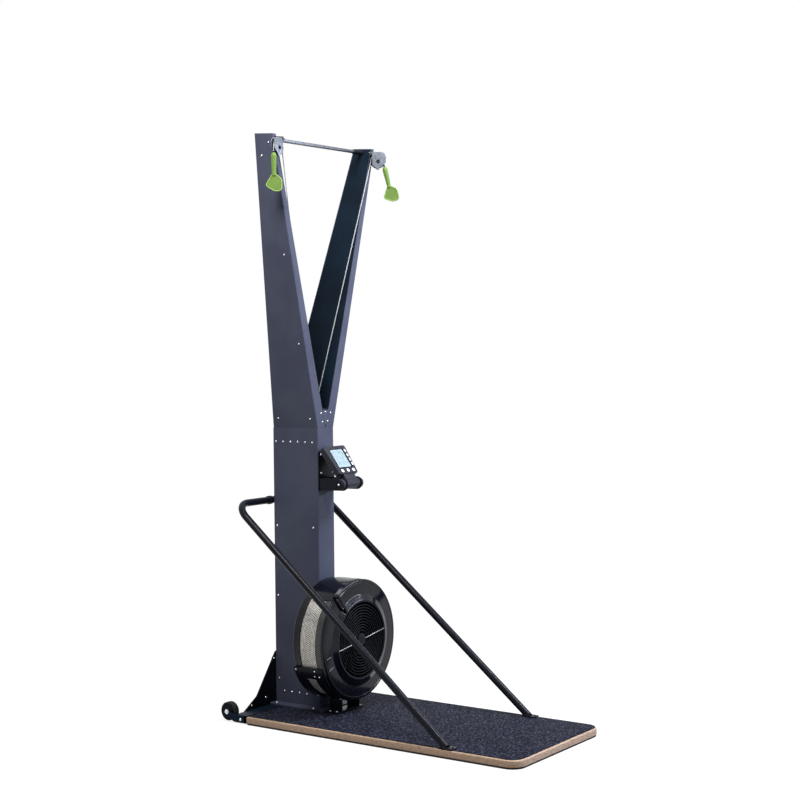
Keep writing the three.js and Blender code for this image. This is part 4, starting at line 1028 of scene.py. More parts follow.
@dataclass
class Board:
    """The plywood board, its grip sheet and the thin foot sheet under it."""

    length: float = 1144
    half_width: float = 288
    front_radius: float = 50
    rear_radius: float = 4
    sheet: Pair = (0, 6.2)
    sheet_inset: float = 2
    core: Pair = (6.5, 30.2)
    mat: Pair = (30.5, 32.0)
    mat_inset: float = 5.5

    def outline(self, inset: float) -> Array:
        """The board's outline, drawn in.

        Args:
            inset: how far.

        Returns:
            (count, 2) points.
        """
        half, front, far = self.half_width - inset, self.front_radius - inset, self.length - inset
        corners = [(-half, inset, front), (half, inset, front)]
        corners += [(half, far, self.rear_radius), (-half, far, self.rear_radius)]
        return outline_of(corners, 20)

    def build(self) -> None:
        """Makes the three layers, each with its inset and the rounds of its two rims."""
        layers = (
            ("board_plywood", "board_core", PLYWOOD, self.core, 0, (1.2, 6.0)),
            ("board_grip", "grip_mat", GRIP, self.mat, self.mat_inset, (0.1, 0.7)),
            ("board_foot_sheet", "base_sheet", RUBBER, self.sheet, self.sheet_inset, (0.6, 0.6)),
        )
        for name, solid, finish, span, inset, rims in layers:
            layer = slab(self.outline(inset), Axis.Z, span, *rims)
            finished(name, [(layer, finish)], "frame", [solid])


@dataclass
class Rear:
    """The rear beam, its flared plate, and the transport wheels in their brackets."""

    axle: Pair = (1234, 38)
    wheel_span: Pair = (258.8, 283.3)
    radius: float = 34
    bead: float = 28.6
    tyre_bore: float = 27
    hub_radius: float = 27.6
    boss: float = 11.5
    hub_bore: float = 5.4
    bracket_side: float = 289.8
    plate: Pair = (1198.3, 1203.3)
    plate_bolts: tuple[Pair, ...] = ((59, 200), (110, 62), (190, 46))

    def wheel(self, sign: int) -> list[Part]:
        """A tyre with two shallow grooves, on a dished plastic hub.

        Args:
            sign: -1 for the left wheel and 1 for the right one.

        Returns:
            The tyre and the hub.
        """
        inner, outer = self.wheel_span
        middle = (inner + outer) / 2
        tyre = [
            (self.tyre_bore, inner + 2.4, 0), (self.bead, inner, 1.2),
            (self.radius, inner + 0.6, 4.5), (self.radius, middle - 5, 0.8),
            (self.radius - 1.2, middle - 4, 0.6), (self.radius, middle - 3, 0.8),
        ]
        hub = [
            (self.hub_bore, inner, 0), (self.boss, inner, 1), (self.boss + 1, inner + 3.2, 1.5),
            (self.hub_radius - 2.1, inner + 3.2, 1.5), (self.hub_radius - 0.6, inner + 1.0, 0.8),
            (self.hub_radius, inner + 2.0, 0.4),
        ]
        rings = []
        for half, finish in ((tyre, RUBBER), (hub, BLACK_PLASTIC)):
            profile = softened(mirrored(half, middle)) * np.array([1, sign])
            rings.append((turned(profile, Axis.X, (0, *self.axle), 72, wrap=True), finish))
        return rings

    def build(self) -> None:
        """Dresses the beam and plates, and makes the wheels and bolts."""
        kept(["rear_beam"], DARK_PAINT, 1.2)
        kept(["rear_plate"], BLACK_PAINT, 1.0)
        kept(["wheel_bracket_left", "wheel_bracket_right"], DARK_PAINT, 0.8)
        for sign, side in SIDES:
            finished(f"wheel_tyre_{side}", self.wheel(sign), f"roll_{side}", [f"wheel_{side}"])
            outside, facing = sign * self.bracket_side, (sign, 0, 0)
            nut = fasteners(Head.HEX, 6.5, 5, facing, [(outside, *self.axle)])
            bolt = fasteners(Head.BUTTON, 5.2, 3.2, facing, [(outside, 1169, 17.5)])
            finished(f"wheel_bolts_{side}", [(nut, BRIGHT), (bolt, BRIGHT)], "frame")
        spots = [(sign * x, z) for sign, _ in SIDES for x, z in self.plate_bolts]
        front, rear = self.plate
        heads = fasteners(Head.BUTTON, 4.6, 2.6, (0, -1, 0), [(x, front, z) for x, z in spots])
        nuts = fasteners(Head.HEX, 5.2, 4, (0, 1, 0), [(x, rear, z) for x, z in spots])
        finished("rear_plate_bolts", [(heads, BRIGHT), (nuts, SILVER)], "frame")


@dataclass
class Column:
    """The column, its foot plate and the two arms on top of it, with their screws.

    Screws are (y, z) places on the sides, (x, y) on the foot and (x, z) on the throat plate.
    """

    half: float = 48.25
    rear: float = 1198
    arm_base: float = 1069.3
    arm_top: float = 2120
    arm_half: float = 305
    foot_top: float = 38.3
    throat_front: float = 987.2
    loose_screws: tuple[Pair, ...] = ((1184, 701), (1012.6, 702), (1183, 438.6), (1182.6, 125.6))
    arm_screws: tuple[Pair, ...] = (
        (997.2, 2091.5), (1038, 2048.2), (1016, 1104), (1166, 1104), (1010, 1380), (1010, 1700)
    )
    foot_bolts: tuple[Pair, ...] = ((78, 1168), (78, 998))
    throat_screws: tuple[Pair, ...] = (
        (-27.6, 1124), (-0.3, 1129), (-20.4, 1092), (30.6, 1124), (11, 1094)
    )
    cover_screws: tuple[float, ...] = (70, 330, 640, 1040)

    def side_heads(self, sign: int) -> Form:
        """The screws in one side of the column: two rows and four loose ones.

        Args:
            sign: -1 for the left side and 1 for the right one.

        Returns:
            The heads.
        """
        rows = [(y, 1017) for y in np.linspace(1185, 1013, 6)]
        rows += [*self.loose_screws, *((y, 80) for y in np.linspace(1157, 1051, 4))]
        places = [(sign * self.half, y, z) for y, z in rows]
        return fasteners(Head.BUTTON, 3.6, 2.2, (sign, 0, 0), places)

    def arm_heads(self, sign: int) -> Form:
        """Screws in the outer wall of one arm, which leans outwards by a constant slope.

        Args:
            sign: -1 for the left arm and 1 for the right one.

        Returns:
            The heads.
        """
        slope = (self.arm_half - self.half) / (self.arm_top - self.arm_base)
        places = [
            (sign * (self.half + slope * (z - self.arm_base)), y, z) for y, z in self.arm_screws
        ]
        return fasteners(Head.BUTTON, 3.4, 2.0, (sign, 0, -slope), places)

    def build(self) -> None:
        """Dresses the sheet-metal solids and adds the screws."""
        kept(["column_foot"], COLUMN_PAINT, 1.0)
        sheets = ["column_shell", "column_rear_cover", "arm_left", "arm_right", "throat_plate"]
        kept(sheets, COLUMN_PAINT, 0.7)
        kept(["arm_cover_left", "arm_cover_right"], DARK_PAINT, 0.6)
        kept(["cord_guide"], BLACK_PLASTIC, 1.0)
        for sign, side in SIDES:
            screws = [(self.side_heads(sign), BRIGHT), (self.arm_heads(sign), BRIGHT)]
            finished(f"column_screws_{side}", screws, "frame")
        spots = [(sign * x, y, self.foot_top) for sign, _ in SIDES for x, y in self.foot_bolts]
        bolts = fasteners(Head.HEX, 4.6, 4, (0, 0, 1), spots)
        finished("foot_bolts", [(bolts, BRIGHT)], "frame")
        throat = [(x, self.throat_front, z) for x, z in self.throat_screws]
        heads = fasteners(Head.BUTTON, 3.4, 2.2, (0, -1, 0), throat)
        cover = [(0, self.rear, z) for z in self.cover_screws]
        screws = fasteners(Head.BUTTON, 3.4, 2.0, (0, 1, 0), cover)
        finished("throat_screws", [(heads, BRIGHT), (screws, BRIGHT)], "frame")


@dataclass
class Crossbar:
    """The drawn rod between the arm tops, with a thicker black sleeve and a collar at each end."""

    y: float = 1018
    height: float = 2108
    radius: float = 6.75
    sleeve: float = 8.5
    collar: float = 10.9
    collar_length: float = 3
    end: float = 281.4
    sleeve_length: float = 56
    overlap: float = 4

    def build(self) -> None:
        """The rod and its two sleeves: each steps up to its collar, which meets the arm."""
        step = self.end - self.sleeve_length
        reach = step + self.overlap
        rod = bar((-reach, self.y, self.height), (reach, self.y, self.height), self.radius, 40)
        profile = [
            (0, self.end, 0), (self.collar, self.end, 0.6),
            (self.collar, self.end - self.collar_length, 0.6),
            (self.sleeve, self.end - self.collar_length - 0.4, 0.3), (self.sleeve, step + 1, 0.8),
            (self.radius - 0.4, step, 0.4), (0, step, 0),
        ]
        parts = [(rod, ROD_STEEL)]
        for sign, _ in SIDES:
            sleeve = softened(profile) * np.array([1, sign])
            parts.append((turned(sleeve, Axis.X, (0, self.y, self.height), 40), BLACK_PLASTIC))
        finished("crossbar_rod", parts, "frame", ["crossbar"])


@dataclass
class PullSide:
    """One side's cord, swivelling pulley bracket and hanging handle.

    The bracket's own frame has its swivel axis as Z and the pulley's centre along -Y. The
    handle's own frame has its origin at the cord's end and hangs down along Z.
    """

    side: str
    sign: int
    toe_out: float
    handle_turn: float
    handle_lean: float
    swivel: Triple = (266.057, 962.166, 2070)
    guide: Triple = (15.1, 1047, 1142)
    drum: Triple = (20, 1047, 298)
    drum_offset: float = 8
    guide_bend: float = 60
    cord_radius: float = 2
    cord_sides: int = 14
    pulley_reach: float = 26
    cheek: Pair = (6.3, 7.8)
    tail: float = 19.4
    hang_drop: float = 20
    blend_heights: Pair = (2069.5, 2051.5)
    paddle: Pair = (-2.9, 2.9)
    bead: float = 1.5

    def mirror(self, point: Triple) -> Array:
        """A point of the right-hand side, on this side."""
        return np.array(point) * np.array([self.sign, 1, 1])

    def local(self, form: Form) -> Form:
        """A form from the bracket's frame into the machine's."""
        return form.moved(turn_about(Axis.Z, self.sign * self.toe_out), self.mirror(self.swivel))

    def bracket(self) -> Form:
        """Two quarter-round cheeks, the knuckle on the stud, the toe web and the axle.

        Returns:
            The bracket, in its own frame.
        """
        corners = [(6.5, 36, 3), (-57, 36, 34), (-57, -3, 3), (-27, -31, 3), (-4, -15, 3)]
        outline = outline_of([*corners, (-4, 26, 0.5), (6.5, 26, 0.5)], 14)
        inside, outside = self.cheek
        spans = [(sign * inside, sign * outside) for sign, _ in SIDES]
        cheeks = [slab(outline, Axis.X, span, 0.35, 0.35) for span in spans]
        knuckle = block((-outside, outside), (-12, 6.5), (26, 36), 1.0)
        web = block((-outside, outside), (-31.5, -22.5), (-31, -29), 0.5)
        pin = bar((-9.6, -self.pulley_reach, 0), (9.6, -self.pulley_reach, 0), 4, 32)
        return joined(*cheeks, knuckle, web, pin)

    def sheave(self) -> Form:
        """The pulley, dished on both sides, with the cord's groove in its middle.

        Returns:
            The pulley, in the bracket's frame.
        """
        half = [(4.4, 5.5, 0), (9, 5.5, 0.5), (11, 3.6, 1), (20, 3.6, 1), (22, 5.3, 1)]
        half += [(26.6, 5.5, 0.5), (27, 5.0, 0.3), (23.9, 2.2, 1.2)]
        profile = softened(mirrored(half), 3)
        return turned(profile, Axis.X, (0, -self.pulley_reach, 0), 64, wrap=True)

    def handle(self) -> Form:
        """The grip and its paddle, before they are melted into one moulding.

        The grip is a turned taper. The paddle is a slab with a full round rim.

        Returns:
            Both, in the handle's frame.
        """
        profile = [(0, 0.4, 0), (5, 0.4, 1.5), (8.2, -5, 3), (10, -10, 6), (9.2, -35, 10)]
        profile += [(7.8, -68, 10), (7.4, -82, 4), (0, -84, 0)]
        grip = turned(softened(profile), Axis.Z, sides=40)
        return joined(grip, slab(self.pick(0), Axis.Y, self.paddle, 2.0, 2.0))

    def pick(self, inset: float) -> Array:
        """The outline of the handle's flat pick, drawn in.

        Args:
            inset: how far.

        Returns:
            (count, 2) points.
        """
        corners = [(-7.5, -74, 5), (-33, -116, 11), (0, -136, 17)]
        corners += [(29, -136, 17), (29, -92, 17), (7.5, -74, 5)]
        return inset_outline(outline_of(corners, 12), np.array([inset]))[0]

    def rim(self) -> Form:
        """The moulded bead that runs round the pick on both of its faces, painted paler green as a
        highlight on its edge.

        Returns:
            Both beads, in the handle's frame.
        """
        x, z = self.pick(2.2).T
        rings = [np.stack([x, 0 * x + sign * 2.6, z], axis=-1) for sign, _ in SIDES]
        return joined(*(closed_tube(ring, self.bead, (0, 1, 0)) for ring in rings))

    def hang(self, form: Form) -> Form:
        """A form from the handle's frame, below the cord's end, into the machine's.

        Args:
            form: the form.

        Returns:
            The form in its place.
        """
        turn = turn_about(Axis.Z, self.handle_turn) @ turn_about(Axis.Y, -self.handle_lean)
        hook = np.array([[0, -2 * self.pulley_reach, -self.hang_drop]])
        return form.moved(turn, self.local(Form(hook, [])).points[0])

    def run(self) -> Array:
        """The cord's middle line from the swivel through the guide's bend to the drum.

        Returns:
            (count, 3) points.
        """
        axis, guide = self.mirror(self.swivel), self.mirror(self.guide)
        drum = np.array(self.drum) + np.array([0, self.sign * self.drum_offset, 0])
        way = guide - axis
        start = axis + way / np.linalg.norm(way)
        down = start + (guide - start) * np.linspace(0, 0.995, 30)[:, None]
        drop = guide + (drum - guide) * np.linspace(0.03, 1, 20)[:, None]
        return np.concatenate([down, bend(axis, guide, drum, self.guide_bend, 8), drop])

    def cords(self) -> None:
        """The run to the drum, the half turn over the pulley and the free end, as one cord.

        The free end hangs below the pulley: it is put on the handle's body and then taken off again, with
        its place kept in its points.
        """
        side, reach, sides = self.side, self.pulley_reach, self.cord_sides
        run = swept(self.run(), self.cord_radius, sides, (0, 1, 0))
        finished(f"cord_run_{side}", [(run, CORD)], "frame", [f"cord_{side}"])
        angle = np.linspace(0, np.pi, 28)
        arc = np.stack([0 * angle, -reach * (1 - np.cos(angle)), reach * np.sin(angle)], axis=-1)
        wrap = [(self.local(swept(arc, self.cord_radius, sides, (1, 0, 0))), WRAP_CORD)]
        finished(f"cord_over_{side}", wrap, f"swivel_{side}", [f"cord_wrap_{side}"])
        drop = np.linspace(0, -self.tail, 60)
        line = np.stack([0 * drop, 0 * drop - 2 * reach, drop], axis=-1)
        form = self.local(swept(line, self.cord_radius, sides, (1, 0, 0)))
        end = [(form, TAIL_CORD)]
        piece = finished(f"cord_end_{side}", end, f"pull_{side}", [f"cord_tail_{side}"])
        piece.parent = None
        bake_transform(piece)

    def build(self) -> None:
        """Makes this side's pieces."""
        side = self.side
        kept([f"pulley_mount_{side}"], BLACK_PAINT, 0.5)
        spots = [(sign, (sign * self.cheek[1], -self.pulley_reach, 0)) for sign, _ in SIDES]
        nuts = [fasteners(Head.HEX, 5.2, 3.4, (sign, 0, 0), [spot]) for sign, spot in spots]
        cheeks = [(self.local(self.bracket()), CHEEK_STEEL), (self.local(joined(*nuts)), DARK_STEEL)]
        finished(f"bracket_cheeks_{side}", cheeks, f"swivel_{side}", [f"pulley_bracket_{side}"])
        sheave = [(self.local(self.sheave()), BLACK_PLASTIC)]
        finished(f"pulley_sheave_{side}", sheave, f"roller_{side}", [f"pulley_{side}"])
        self.cords()
        pull = f"pull_{side}"
        grip = [(self.hang(self.handle()), GREEN_PLASTIC)]
        finished(f"handle_grip_{side}", grip, pull, [f"handle_{side}"], 80, melted)
        # The bead's paler green is a painted highlight on the pick's edge.
        finished(f"handle_rim_{side}", [(self.hang(self.rim()), HIGHLIGHT_GREEN)], pull)
        profile = [(0, 5, 0), (3.1, 5, 1), (3.6, 0.5, 1), (5.4, -1.5, 1), (5.6, -3, 0.5), (0, -3, 0)]
        ferrule = self.hang(turned(softened(profile), Axis.Z, sides=32))
        finished(f"handle_ferrule_{side}", [(ferrule, BLACK_PLASTIC)], pull)


@dataclass
class Fan:
    """The air fan's housing, grille, perforated band, damper and cradle.

    Places along the axis run from the front of the grille's bore to the column. Angles are in
    degrees up from +X, towards +Z.
    """

    height: float = 298
    front: float = 828
    bevel_foot: float = 838
    rim_front: float = 840
    shell_rear: float = 846
    ring: Pair = (850, 878)
    band: Pair = (878.3, 948.7)
    dish: Pair = (949, 987.7)
    bore: float = 141
    bevel: float = 167
    shell_radius: float = 220
    ring_radius: float = 217
    band_radius: float = 214
    dish_radius: float = 218
    sides: int = 144
    ring_count: int = 10
    wire: float = 2.1
    hub: float = 24
    spoke_angles: Pair = (9, 189)
    hole_columns: int = 184
    hole_rows: int = 11
    hole_share: float = 0.34
    sheet: float = 0.8
    tick_angles: Pair = (192, 205)
    tick_span: Pair = (178, 204)
    lever_angle: float = 129
    lever_reach: float = 143
    lever_tip: float = 232
    lever_half: float = 6
    shutter: Pair = (84, 133)
    shutter_rear: float = 944.7
    strap: Pair = (856.5, 985.2)
    strap_angles: Pair = (201, 339)
    foot: Pair = (884.3, 940)
    foot_top: float = 36.3
    window: Pair = (898.3, 945.7)
    window_angles: Pair = (229, 311)
    window_half: float = 16

    @property
    def centre(self) -> Triple:
        """A point on the fan's axis."""
        return (0, 0, self.height)

    def ring_of(self, profile: Array, sides: int = 0) -> Form:
        """A closed profile, turned about the fan's axis."""
        return turned(profile, Axis.Y, self.centre, sides or self.sides, wrap=True)

    def shell(self) -> Form:
        """The front shell and the ring behind the damper, as one moulding.

        Its profile goes over the ring, the damper's groove and the round rim, along the face
        and up the raised collar round the grille, and back inside.

        Returns:
            The shell.
        """
        front, ring, rim = self.front, self.ring, self.rim_front
        radius, bore = self.shell_radius, self.bore
        profile = [
            (self.ring_radius, ring[1] - 0.1, 0), (self.ring_radius, ring[0], 0.8),
            (radius - 14, ring[0], 0.3), (radius - 14, self.shell_rear, 0.3),
            (radius, self.shell_rear, 0.8), (radius, rim + 3, 3), (radius - 5, rim, 4),
            (radius - 11, rim - 0.4, 1), (radius - 12, rim + 0.9, 0.5),
            (radius - 13.5, rim - 0.6, 1), (self.bevel + 4, self.bevel_foot + 0.3, 3),
            (self.bevel, self.bevel_foot, 3), (bore + 4.2, front + 0.5, 2.5),
            (bore + 2.6, front, 0.8), (bore + 0.5, front, 0.6), (bore, front + 1, 0.6),
            (bore, front + 7, 0.3), (bore + 3, front + 7, 0.3),
            (self.bevel, self.bevel_foot + 3, 2), (radius - 17, rim + 3, 2),
            (radius - 17, ring[0] + 3, 1), (self.ring_radius - 5, ring[0] + 3, 1),
            (self.ring_radius - 5, ring[1] - 0.1, 0),
        ]
        return self.ring_of(softened(profile))

    def hoop(self, radius: float, span: Pair, height: float) -> Form:
        """A thin flat hoop on a drum, with rounded edges.

        Args:
            radius: the drum's radius.
            span: where the hoop's edges lie.
            height: its thickness.

        Returns:
            The hoop.
        """
        low, high = span
        top = radius + height
        profile = [(radius, low, 0), (top, low, height), (top, high, height), (radius, high, 0)]
        return self.ring_of(softened(profile, 3))

    def radial(self, form: Form, angle: float) -> Form:
        """A form made along +X at the fan's axis, turned up by an angle from +X towards +Z."""
        return form.moved(turn_about(Axis.Y, -angle), self.centre)

    def ticks(self) -> Form:
        """Raised index marks of the damper's scale across the shell's face, at its left."""
        mark = block(self.tick_span, (837.4, 839.2), (-0.8, 0.8), 0.3)
        return joined(*(self.radial(mark, angle) for angle in self.tick_angles))

    def grille(self) -> Form:
        """The round rings, the rim and the domed hub.

        Returns:
            The grille without its spokes.
        """
        front, outer = self.front + 1.5, self.bore - 0.3
        inner = self.bore - 4.3
        cosine, sine = circle(10)
        section = np.stack([self.wire * cosine, front + 2.2 - self.wire * sine], axis=-1)
        radii = np.linspace(self.hub, inner, self.ring_count + 2)[1:-1]
        rings = [self.ring_of(section + np.array([radius, 0]), 96) for radius in radii]
        rim = [(inner, front + 4, 0), (inner, front, 0.8), (outer, front, 0.8)]
        rim += [(outer, front + 4, 0.5), (inner, front + 4, 0)]
        hub = [(0, front - 1.2, 0), (15, front - 1.0, 6), (22, front + 0.4, 3)]
        hub += [(self.hub, front + 3, 2), (self.hub, front + 8, 0.5), (0, front + 8, 0)]
        bodies = [turned(softened(profile), Axis.Y, self.centre, 96) for profile in (rim, hub)]
        return joined(*rings, *bodies)

    def spokes(self) -> Form:
        """The two pale wires that carry the rings, a little off level.

        Returns:
            Both.
        """
        y = self.front + 1.4
        wire = bar((self.hub - 2, y, 0), (self.bore - 1, y, 0), 1.5, 12)
        return joined(*(self.radial(wire, angle) for angle in self.spoke_angles))

    def perforated(self) -> Form:
        """The band of round-holed sheet: six-sided cells in staggered rows, each with a hole.

        A cell's corners and its hole's corners are joined on the outer and the inner face, and
        the hole's walls join the two faces. Angle and depth come from the flat pattern.

        Returns:
            The band.
        """
        low, high = self.band
        pitch = 2 * np.pi * self.band_radius / self.hole_columns
        step = (high - low) / self.hole_rows
        corner = np.arange(6) * np.pi / 3 + np.pi / 6
        around = np.stack([np.cos(corner), np.sin(corner)], axis=-1)
        cell = around * np.array([pitch / np.sqrt(3), step / 1.5])
        column, row = np.meshgrid(np.arange(self.hole_columns), np.arange(self.hole_rows), indexing="ij")
        middle = np.stack([(column + 0.5 * (row % 2)) * pitch, (row + 0.5) * step + low], axis=-1)
        middle = middle.reshape(-1, 1, 2)
        hole = around * self.hole_share * pitch
        flat = np.concatenate([middle + cell, middle + hole], axis=1)
        angle, depth = flat[..., 0] / self.band_radius, np.clip(flat[..., 1], low, high)
        radii = (self.band_radius, self.band_radius - self.sheet)
        layers = [Axis.Y.place(size * np.cos(angle), size * np.sin(angle), depth) for size in radii]
        points = np.concatenate(layers, axis=1) + np.array(self.centre)
        count = np.arange(6)
        after = (count + 1) % 6
        outer = np.stack([count, after, after + 6, count + 6], axis=-1)
        inner = np.stack([count + 18, after + 18, after + 12, count + 12], axis=-1)
        wall = np.stack([count + 6, after + 6, after + 18, count + 18], axis=-1)
        quads = np.concatenate([outer, inner, wall])
        starts = (np.arange(len(points)) * 24)[:, None, None]
        return Form(points.reshape(-1, 3), [(quads[None] + starts).reshape(-1, 4)])

    def painted_shade_sheet(self) -> Form:
        """A black sheet just inside the band: painted shade that stands in for the dark inside of the
        housing behind the holes.

        Returns:
            The sheet.
        """
        low, high = self.band[0] + 0.2, self.band[1] - 0.2
        inner, outer = self.band_radius - 2, self.band_radius - 1.2
        return self.ring_of(np.array([(inner, low), (outer, low), (outer, high), (inner, high)]))

    def back_dish(self) -> Form:
        """The rear half of the housing: a deep rim, a round shoulder and two stiffening steps.

        Returns:
            The dish.
        """
        start, end = self.dish
        radius = self.dish_radius
        profile = [
            (radius, start, 0), (radius, start + 4, 0.5), (radius - 0.8, start + 5, 0.5),
            (radius - 0.8, end - 12, 3), (radius - 1.5, end - 9, 3), (radius - 16, end, 4),
            (120, end, 2), (116, end - 3, 2), (70, end - 3, 2), (66, end, 2), (20.5, end, 0.4),
            (20.5, end - 3, 0.4), (64, end - 3, 2), (70, end - 6, 2), (116, end - 6, 2),
            (122, end - 3, 2), (radius - 19, end - 3, 4), (radius - 6, end - 12, 4),
            (radius - 6, start, 0),
        ]
        return self.ring_of(softened(profile))

    def curved(self, angles: Pair, radii: Pair, depth: Pair, corner: float) -> Form:
        """A sheet bent round the fan whose rear corners are rounded.

        Each section along the bend is a rounded box in radius and depth. Within the corner's
        radius of an end the rear edge draws in by R - sqrt(R^2 - d^2), where d is how far the
        section lies past the start of the corner.

        Args:
            angles: where it starts and ends round the fan.
            radii: its inner and outer radius.
            depth: its front and rear place.
            corner: the radius R of its rear corners.

        Returns:
            The sheet.
        """
        inner, outer = radii
        start, end = np.radians(angles)
        angle = np.linspace(start, end, 40)
        past = np.maximum(0, corner - outer * np.minimum(angle - start, end - angle))
        rear = depth[1] - (corner - np.sqrt(np.maximum(corner**2 - past**2, 0)))
        soft = (outer - inner) / 3
        half = np.array([inner, inner + soft, outer - soft, outer])
        radius = np.concatenate([half, half[::-1]])
        edge = np.array([soft, 0, 0, soft])
        front = np.broadcast_to(depth[0] + edge, (len(angle), 4))
        along = np.concatenate([front, rear[:, None] - edge], axis=1)
        across, up = np.cos(angle)[:, None] * radius, np.sin(angle)[:, None] * radius
        return capped(Axis.Y.place(across, up, along) + np.array(self.centre))

    def damper(self) -> Form:
        """The damper's ring in its groove, its shutter over the band and its folded lever.

        Returns:
            The damper.
        """
        front, rear = self.shell_rear + 0.3, self.ring[0] - 0.3
        outside, inside = self.shell_radius - 1, self.shell_radius - 12.5
        section = [(inside, front, 0), (outside, front, 0.4), (outside, rear, 0.4), (inside, rear, 0)]
        ring = self.ring_of(softened(section))
        first, last = self.shutter
        drum = self.ring_radius
        shutter = self.curved(self.shutter, (drum + 1.1, drum + 3.5), (front, self.shutter_rear), 22)
        radii, depth = (drum + 3, drum + 4.6), (front + 6, front + 9)
        bead = self.curved((first + 1.5, last - 1.5), radii, depth, 1)
        reach, tip, face, wide = self.lever_reach, self.lever_tip, self.front - 1, self.lever_half
        across = block((drum - 7, tip), (front, rear), (-wide, wide), 0.8)
        bridge = block((self.shell_radius + 1.2, tip), (face - 4, rear), (-wide, wide), 2.0)
        half = [(reach, -4, 3), (reach + 8, -wide, 3), (tip, -wide, 3)]
        lever = slab(outline_of(mirrored(half)), Axis.Z, (-face, 4.4 - face), 0.5, 1.4)
        lever = lever.moved(turn_about(Axis.X, 90), (0, 0, 0))
        rib = block((reach + 14, tip - 6), (face - 5.4, face - 4), (-1.6, 1.6), 0.7)
        arms = [self.radial(form, self.lever_angle) for form in (across, bridge, lever, rib)]
        return joined(ring, shutter, bead, *arms)

    def cradle(self) -> Form:
        """The clamp under the fan: a curved strap with two windows, its legs and its foot.

        The strap is a grid by angle and depth at two radii, without the cells of the windows.

        Returns:
            The cradle.
        """
        low, high = self.strap
        degrees = np.linspace(*self.strap_angles, 93)
        angle = np.radians(degrees)[:, None]
        depth = np.array([low, low + 0.8, low + 20, *self.window, high - 20, high - 0.8, high])
        away = np.abs(((degrees[:-1] + degrees[1:]) / 2)[:, None] - np.array(self.window_angles))
        beside = away.min(axis=1) < self.window_half
        within = (depth[:-1] >= self.window[0] - 0.01) & (depth[1:] <= self.window[1] + 0.01)
        solid = ~(beside[:, None] & within[None, :])
        sheets = []
        for radius, flip in ((self.dish_radius + 0.9, 1), (self.dish_radius + 5.4, -1)):
            points = Axis.Y.place(radius * np.cos(angle), radius * np.sin(angle), depth[None])
            faces = grid(points).faces[0][solid.reshape(-1)]
            sheets.append(Form(points.reshape(-1, 3) + np.array(self.centre), [faces[:, ::flip]]))
        edges = rim_faces(sheets[0].faces[0], len(sheets[0].points))
        strap = joined(*sheets)
        strap = Form(strap.points, [*strap.faces, edges])
        foot = block((-78, 78), self.foot, (self.foot_top - 4, self.foot_top), 0.8)
        legs = []
        for sign, _ in SIDES:
            places = ((50, 35), (55, 35), (55, 84.5), (50, 83.4))
            corners = [(sign * x, z, 0) for x, z in places]
            legs.append(slab(outline_of(corners), Axis.Y, self.foot, 0.6, 0.6))
        return joined(strap, foot, *legs)

    def cradle_screws(self) -> Form:
        """Bolts in the foot, and screws near the strap's ends and beside its legs.

        Returns:
            The heads.
        """
        spots = [(x, y, self.foot_top) for x in (-67, 67) for y in (897, 927)]
        rows = [fasteners(Head.BUTTON, 3.6, 2.4, (0, 0, 1), spots)]
        outer = self.dish_radius + 5.4
        low, high = self.strap
        table = ((203.6, (891, high - 9)), (209.6, (877, 898)), (249, (low + 12, high - 12)))
        for angle, places in table:
            spots = [(outer, y, 0) for y in places]
            row = fasteners(Head.BUTTON, 3.2, 2.0, (1, 0, 0), spots)
            rows += [self.radial(row, angle), self.radial(row, 540 - angle)]
        return joined(*rows)

    def build(self) -> None:
        """Makes the housing's pieces and dresses the wheel and drums inside."""
        strip = self.hoop(self.ring_radius - 0.4, (self.ring[0] + 3, self.ring[1] - 1.6), 1.0)
        shell = [(self.shell(), GLOSS_PLASTIC), (strip, STRIP_METAL), (self.ticks(), SCALE_PRINT)]
        finished("fan_shell", shell, "frame", ["fan_front_shell"], 30)
        grille = [(self.grille(), BLACK_PLASTIC), (self.spokes(), SILVER)]
        finished("fan_grille_rings", grille, "frame", ["fan_grille"])
        # The black sheet inside the band is painted shade behind its holes.
        band = [(self.perforated(), MESH_METAL), (self.painted_shade_sheet(), BLACK_PLASTIC)]
        finished("fan_band_sheet", band, "frame", ["fan_band"], 50)
        finished("fan_dish", [(self.back_dish(), GLOSS_PLASTIC)], "frame", ["fan_back_dish"], 30)
        finished("damper_lever", [(self.damper(), GLOSS_PLASTIC)], "damper", ["damper_ring"], 35)
        cradle = [(self.cradle(), BLACK_PAINT), (self.cradle_screws(), BRIGHT)]
        finished("fan_cradle_strap", cradle, "frame", ["fan_cradle"])
        cast = ["flywheel", "cord_drum_left", "cord_drum_right", "bearing_rear", "return_anchor"]
        kept(cast, FAN_METAL, 0.4)
        kept(["drive_shaft", "bearing_front"], SILVER, 0.4)
        kept(["return_cord"], RUBBER, 0, True)


def rim_faces(faces: Array, offset: int) -> Array:
    """Faces that join the open edges of a sheet to a copy of it: edges with one face only.

    Args:
        faces: the sheet's faces.
        offset: how much higher the copy's point numbers are.

    Returns:
        (count, 4) faces.
    """
    edges = np.stack([faces, np.roll(faces, -1, axis=1)], axis=-1).reshape(-1, 2)
    ordered = np.sort(edges, axis=1)
    _, where, count = np.unique(ordered, axis=0, return_inverse=True, return_counts=True)
    rim = edges[count[where.reshape(-1)] == 1]
    return np.stack([rim[:, 1], rim[:, 0], rim[:, 0] + offset, rim[:, 1] + offset], axis=-1)


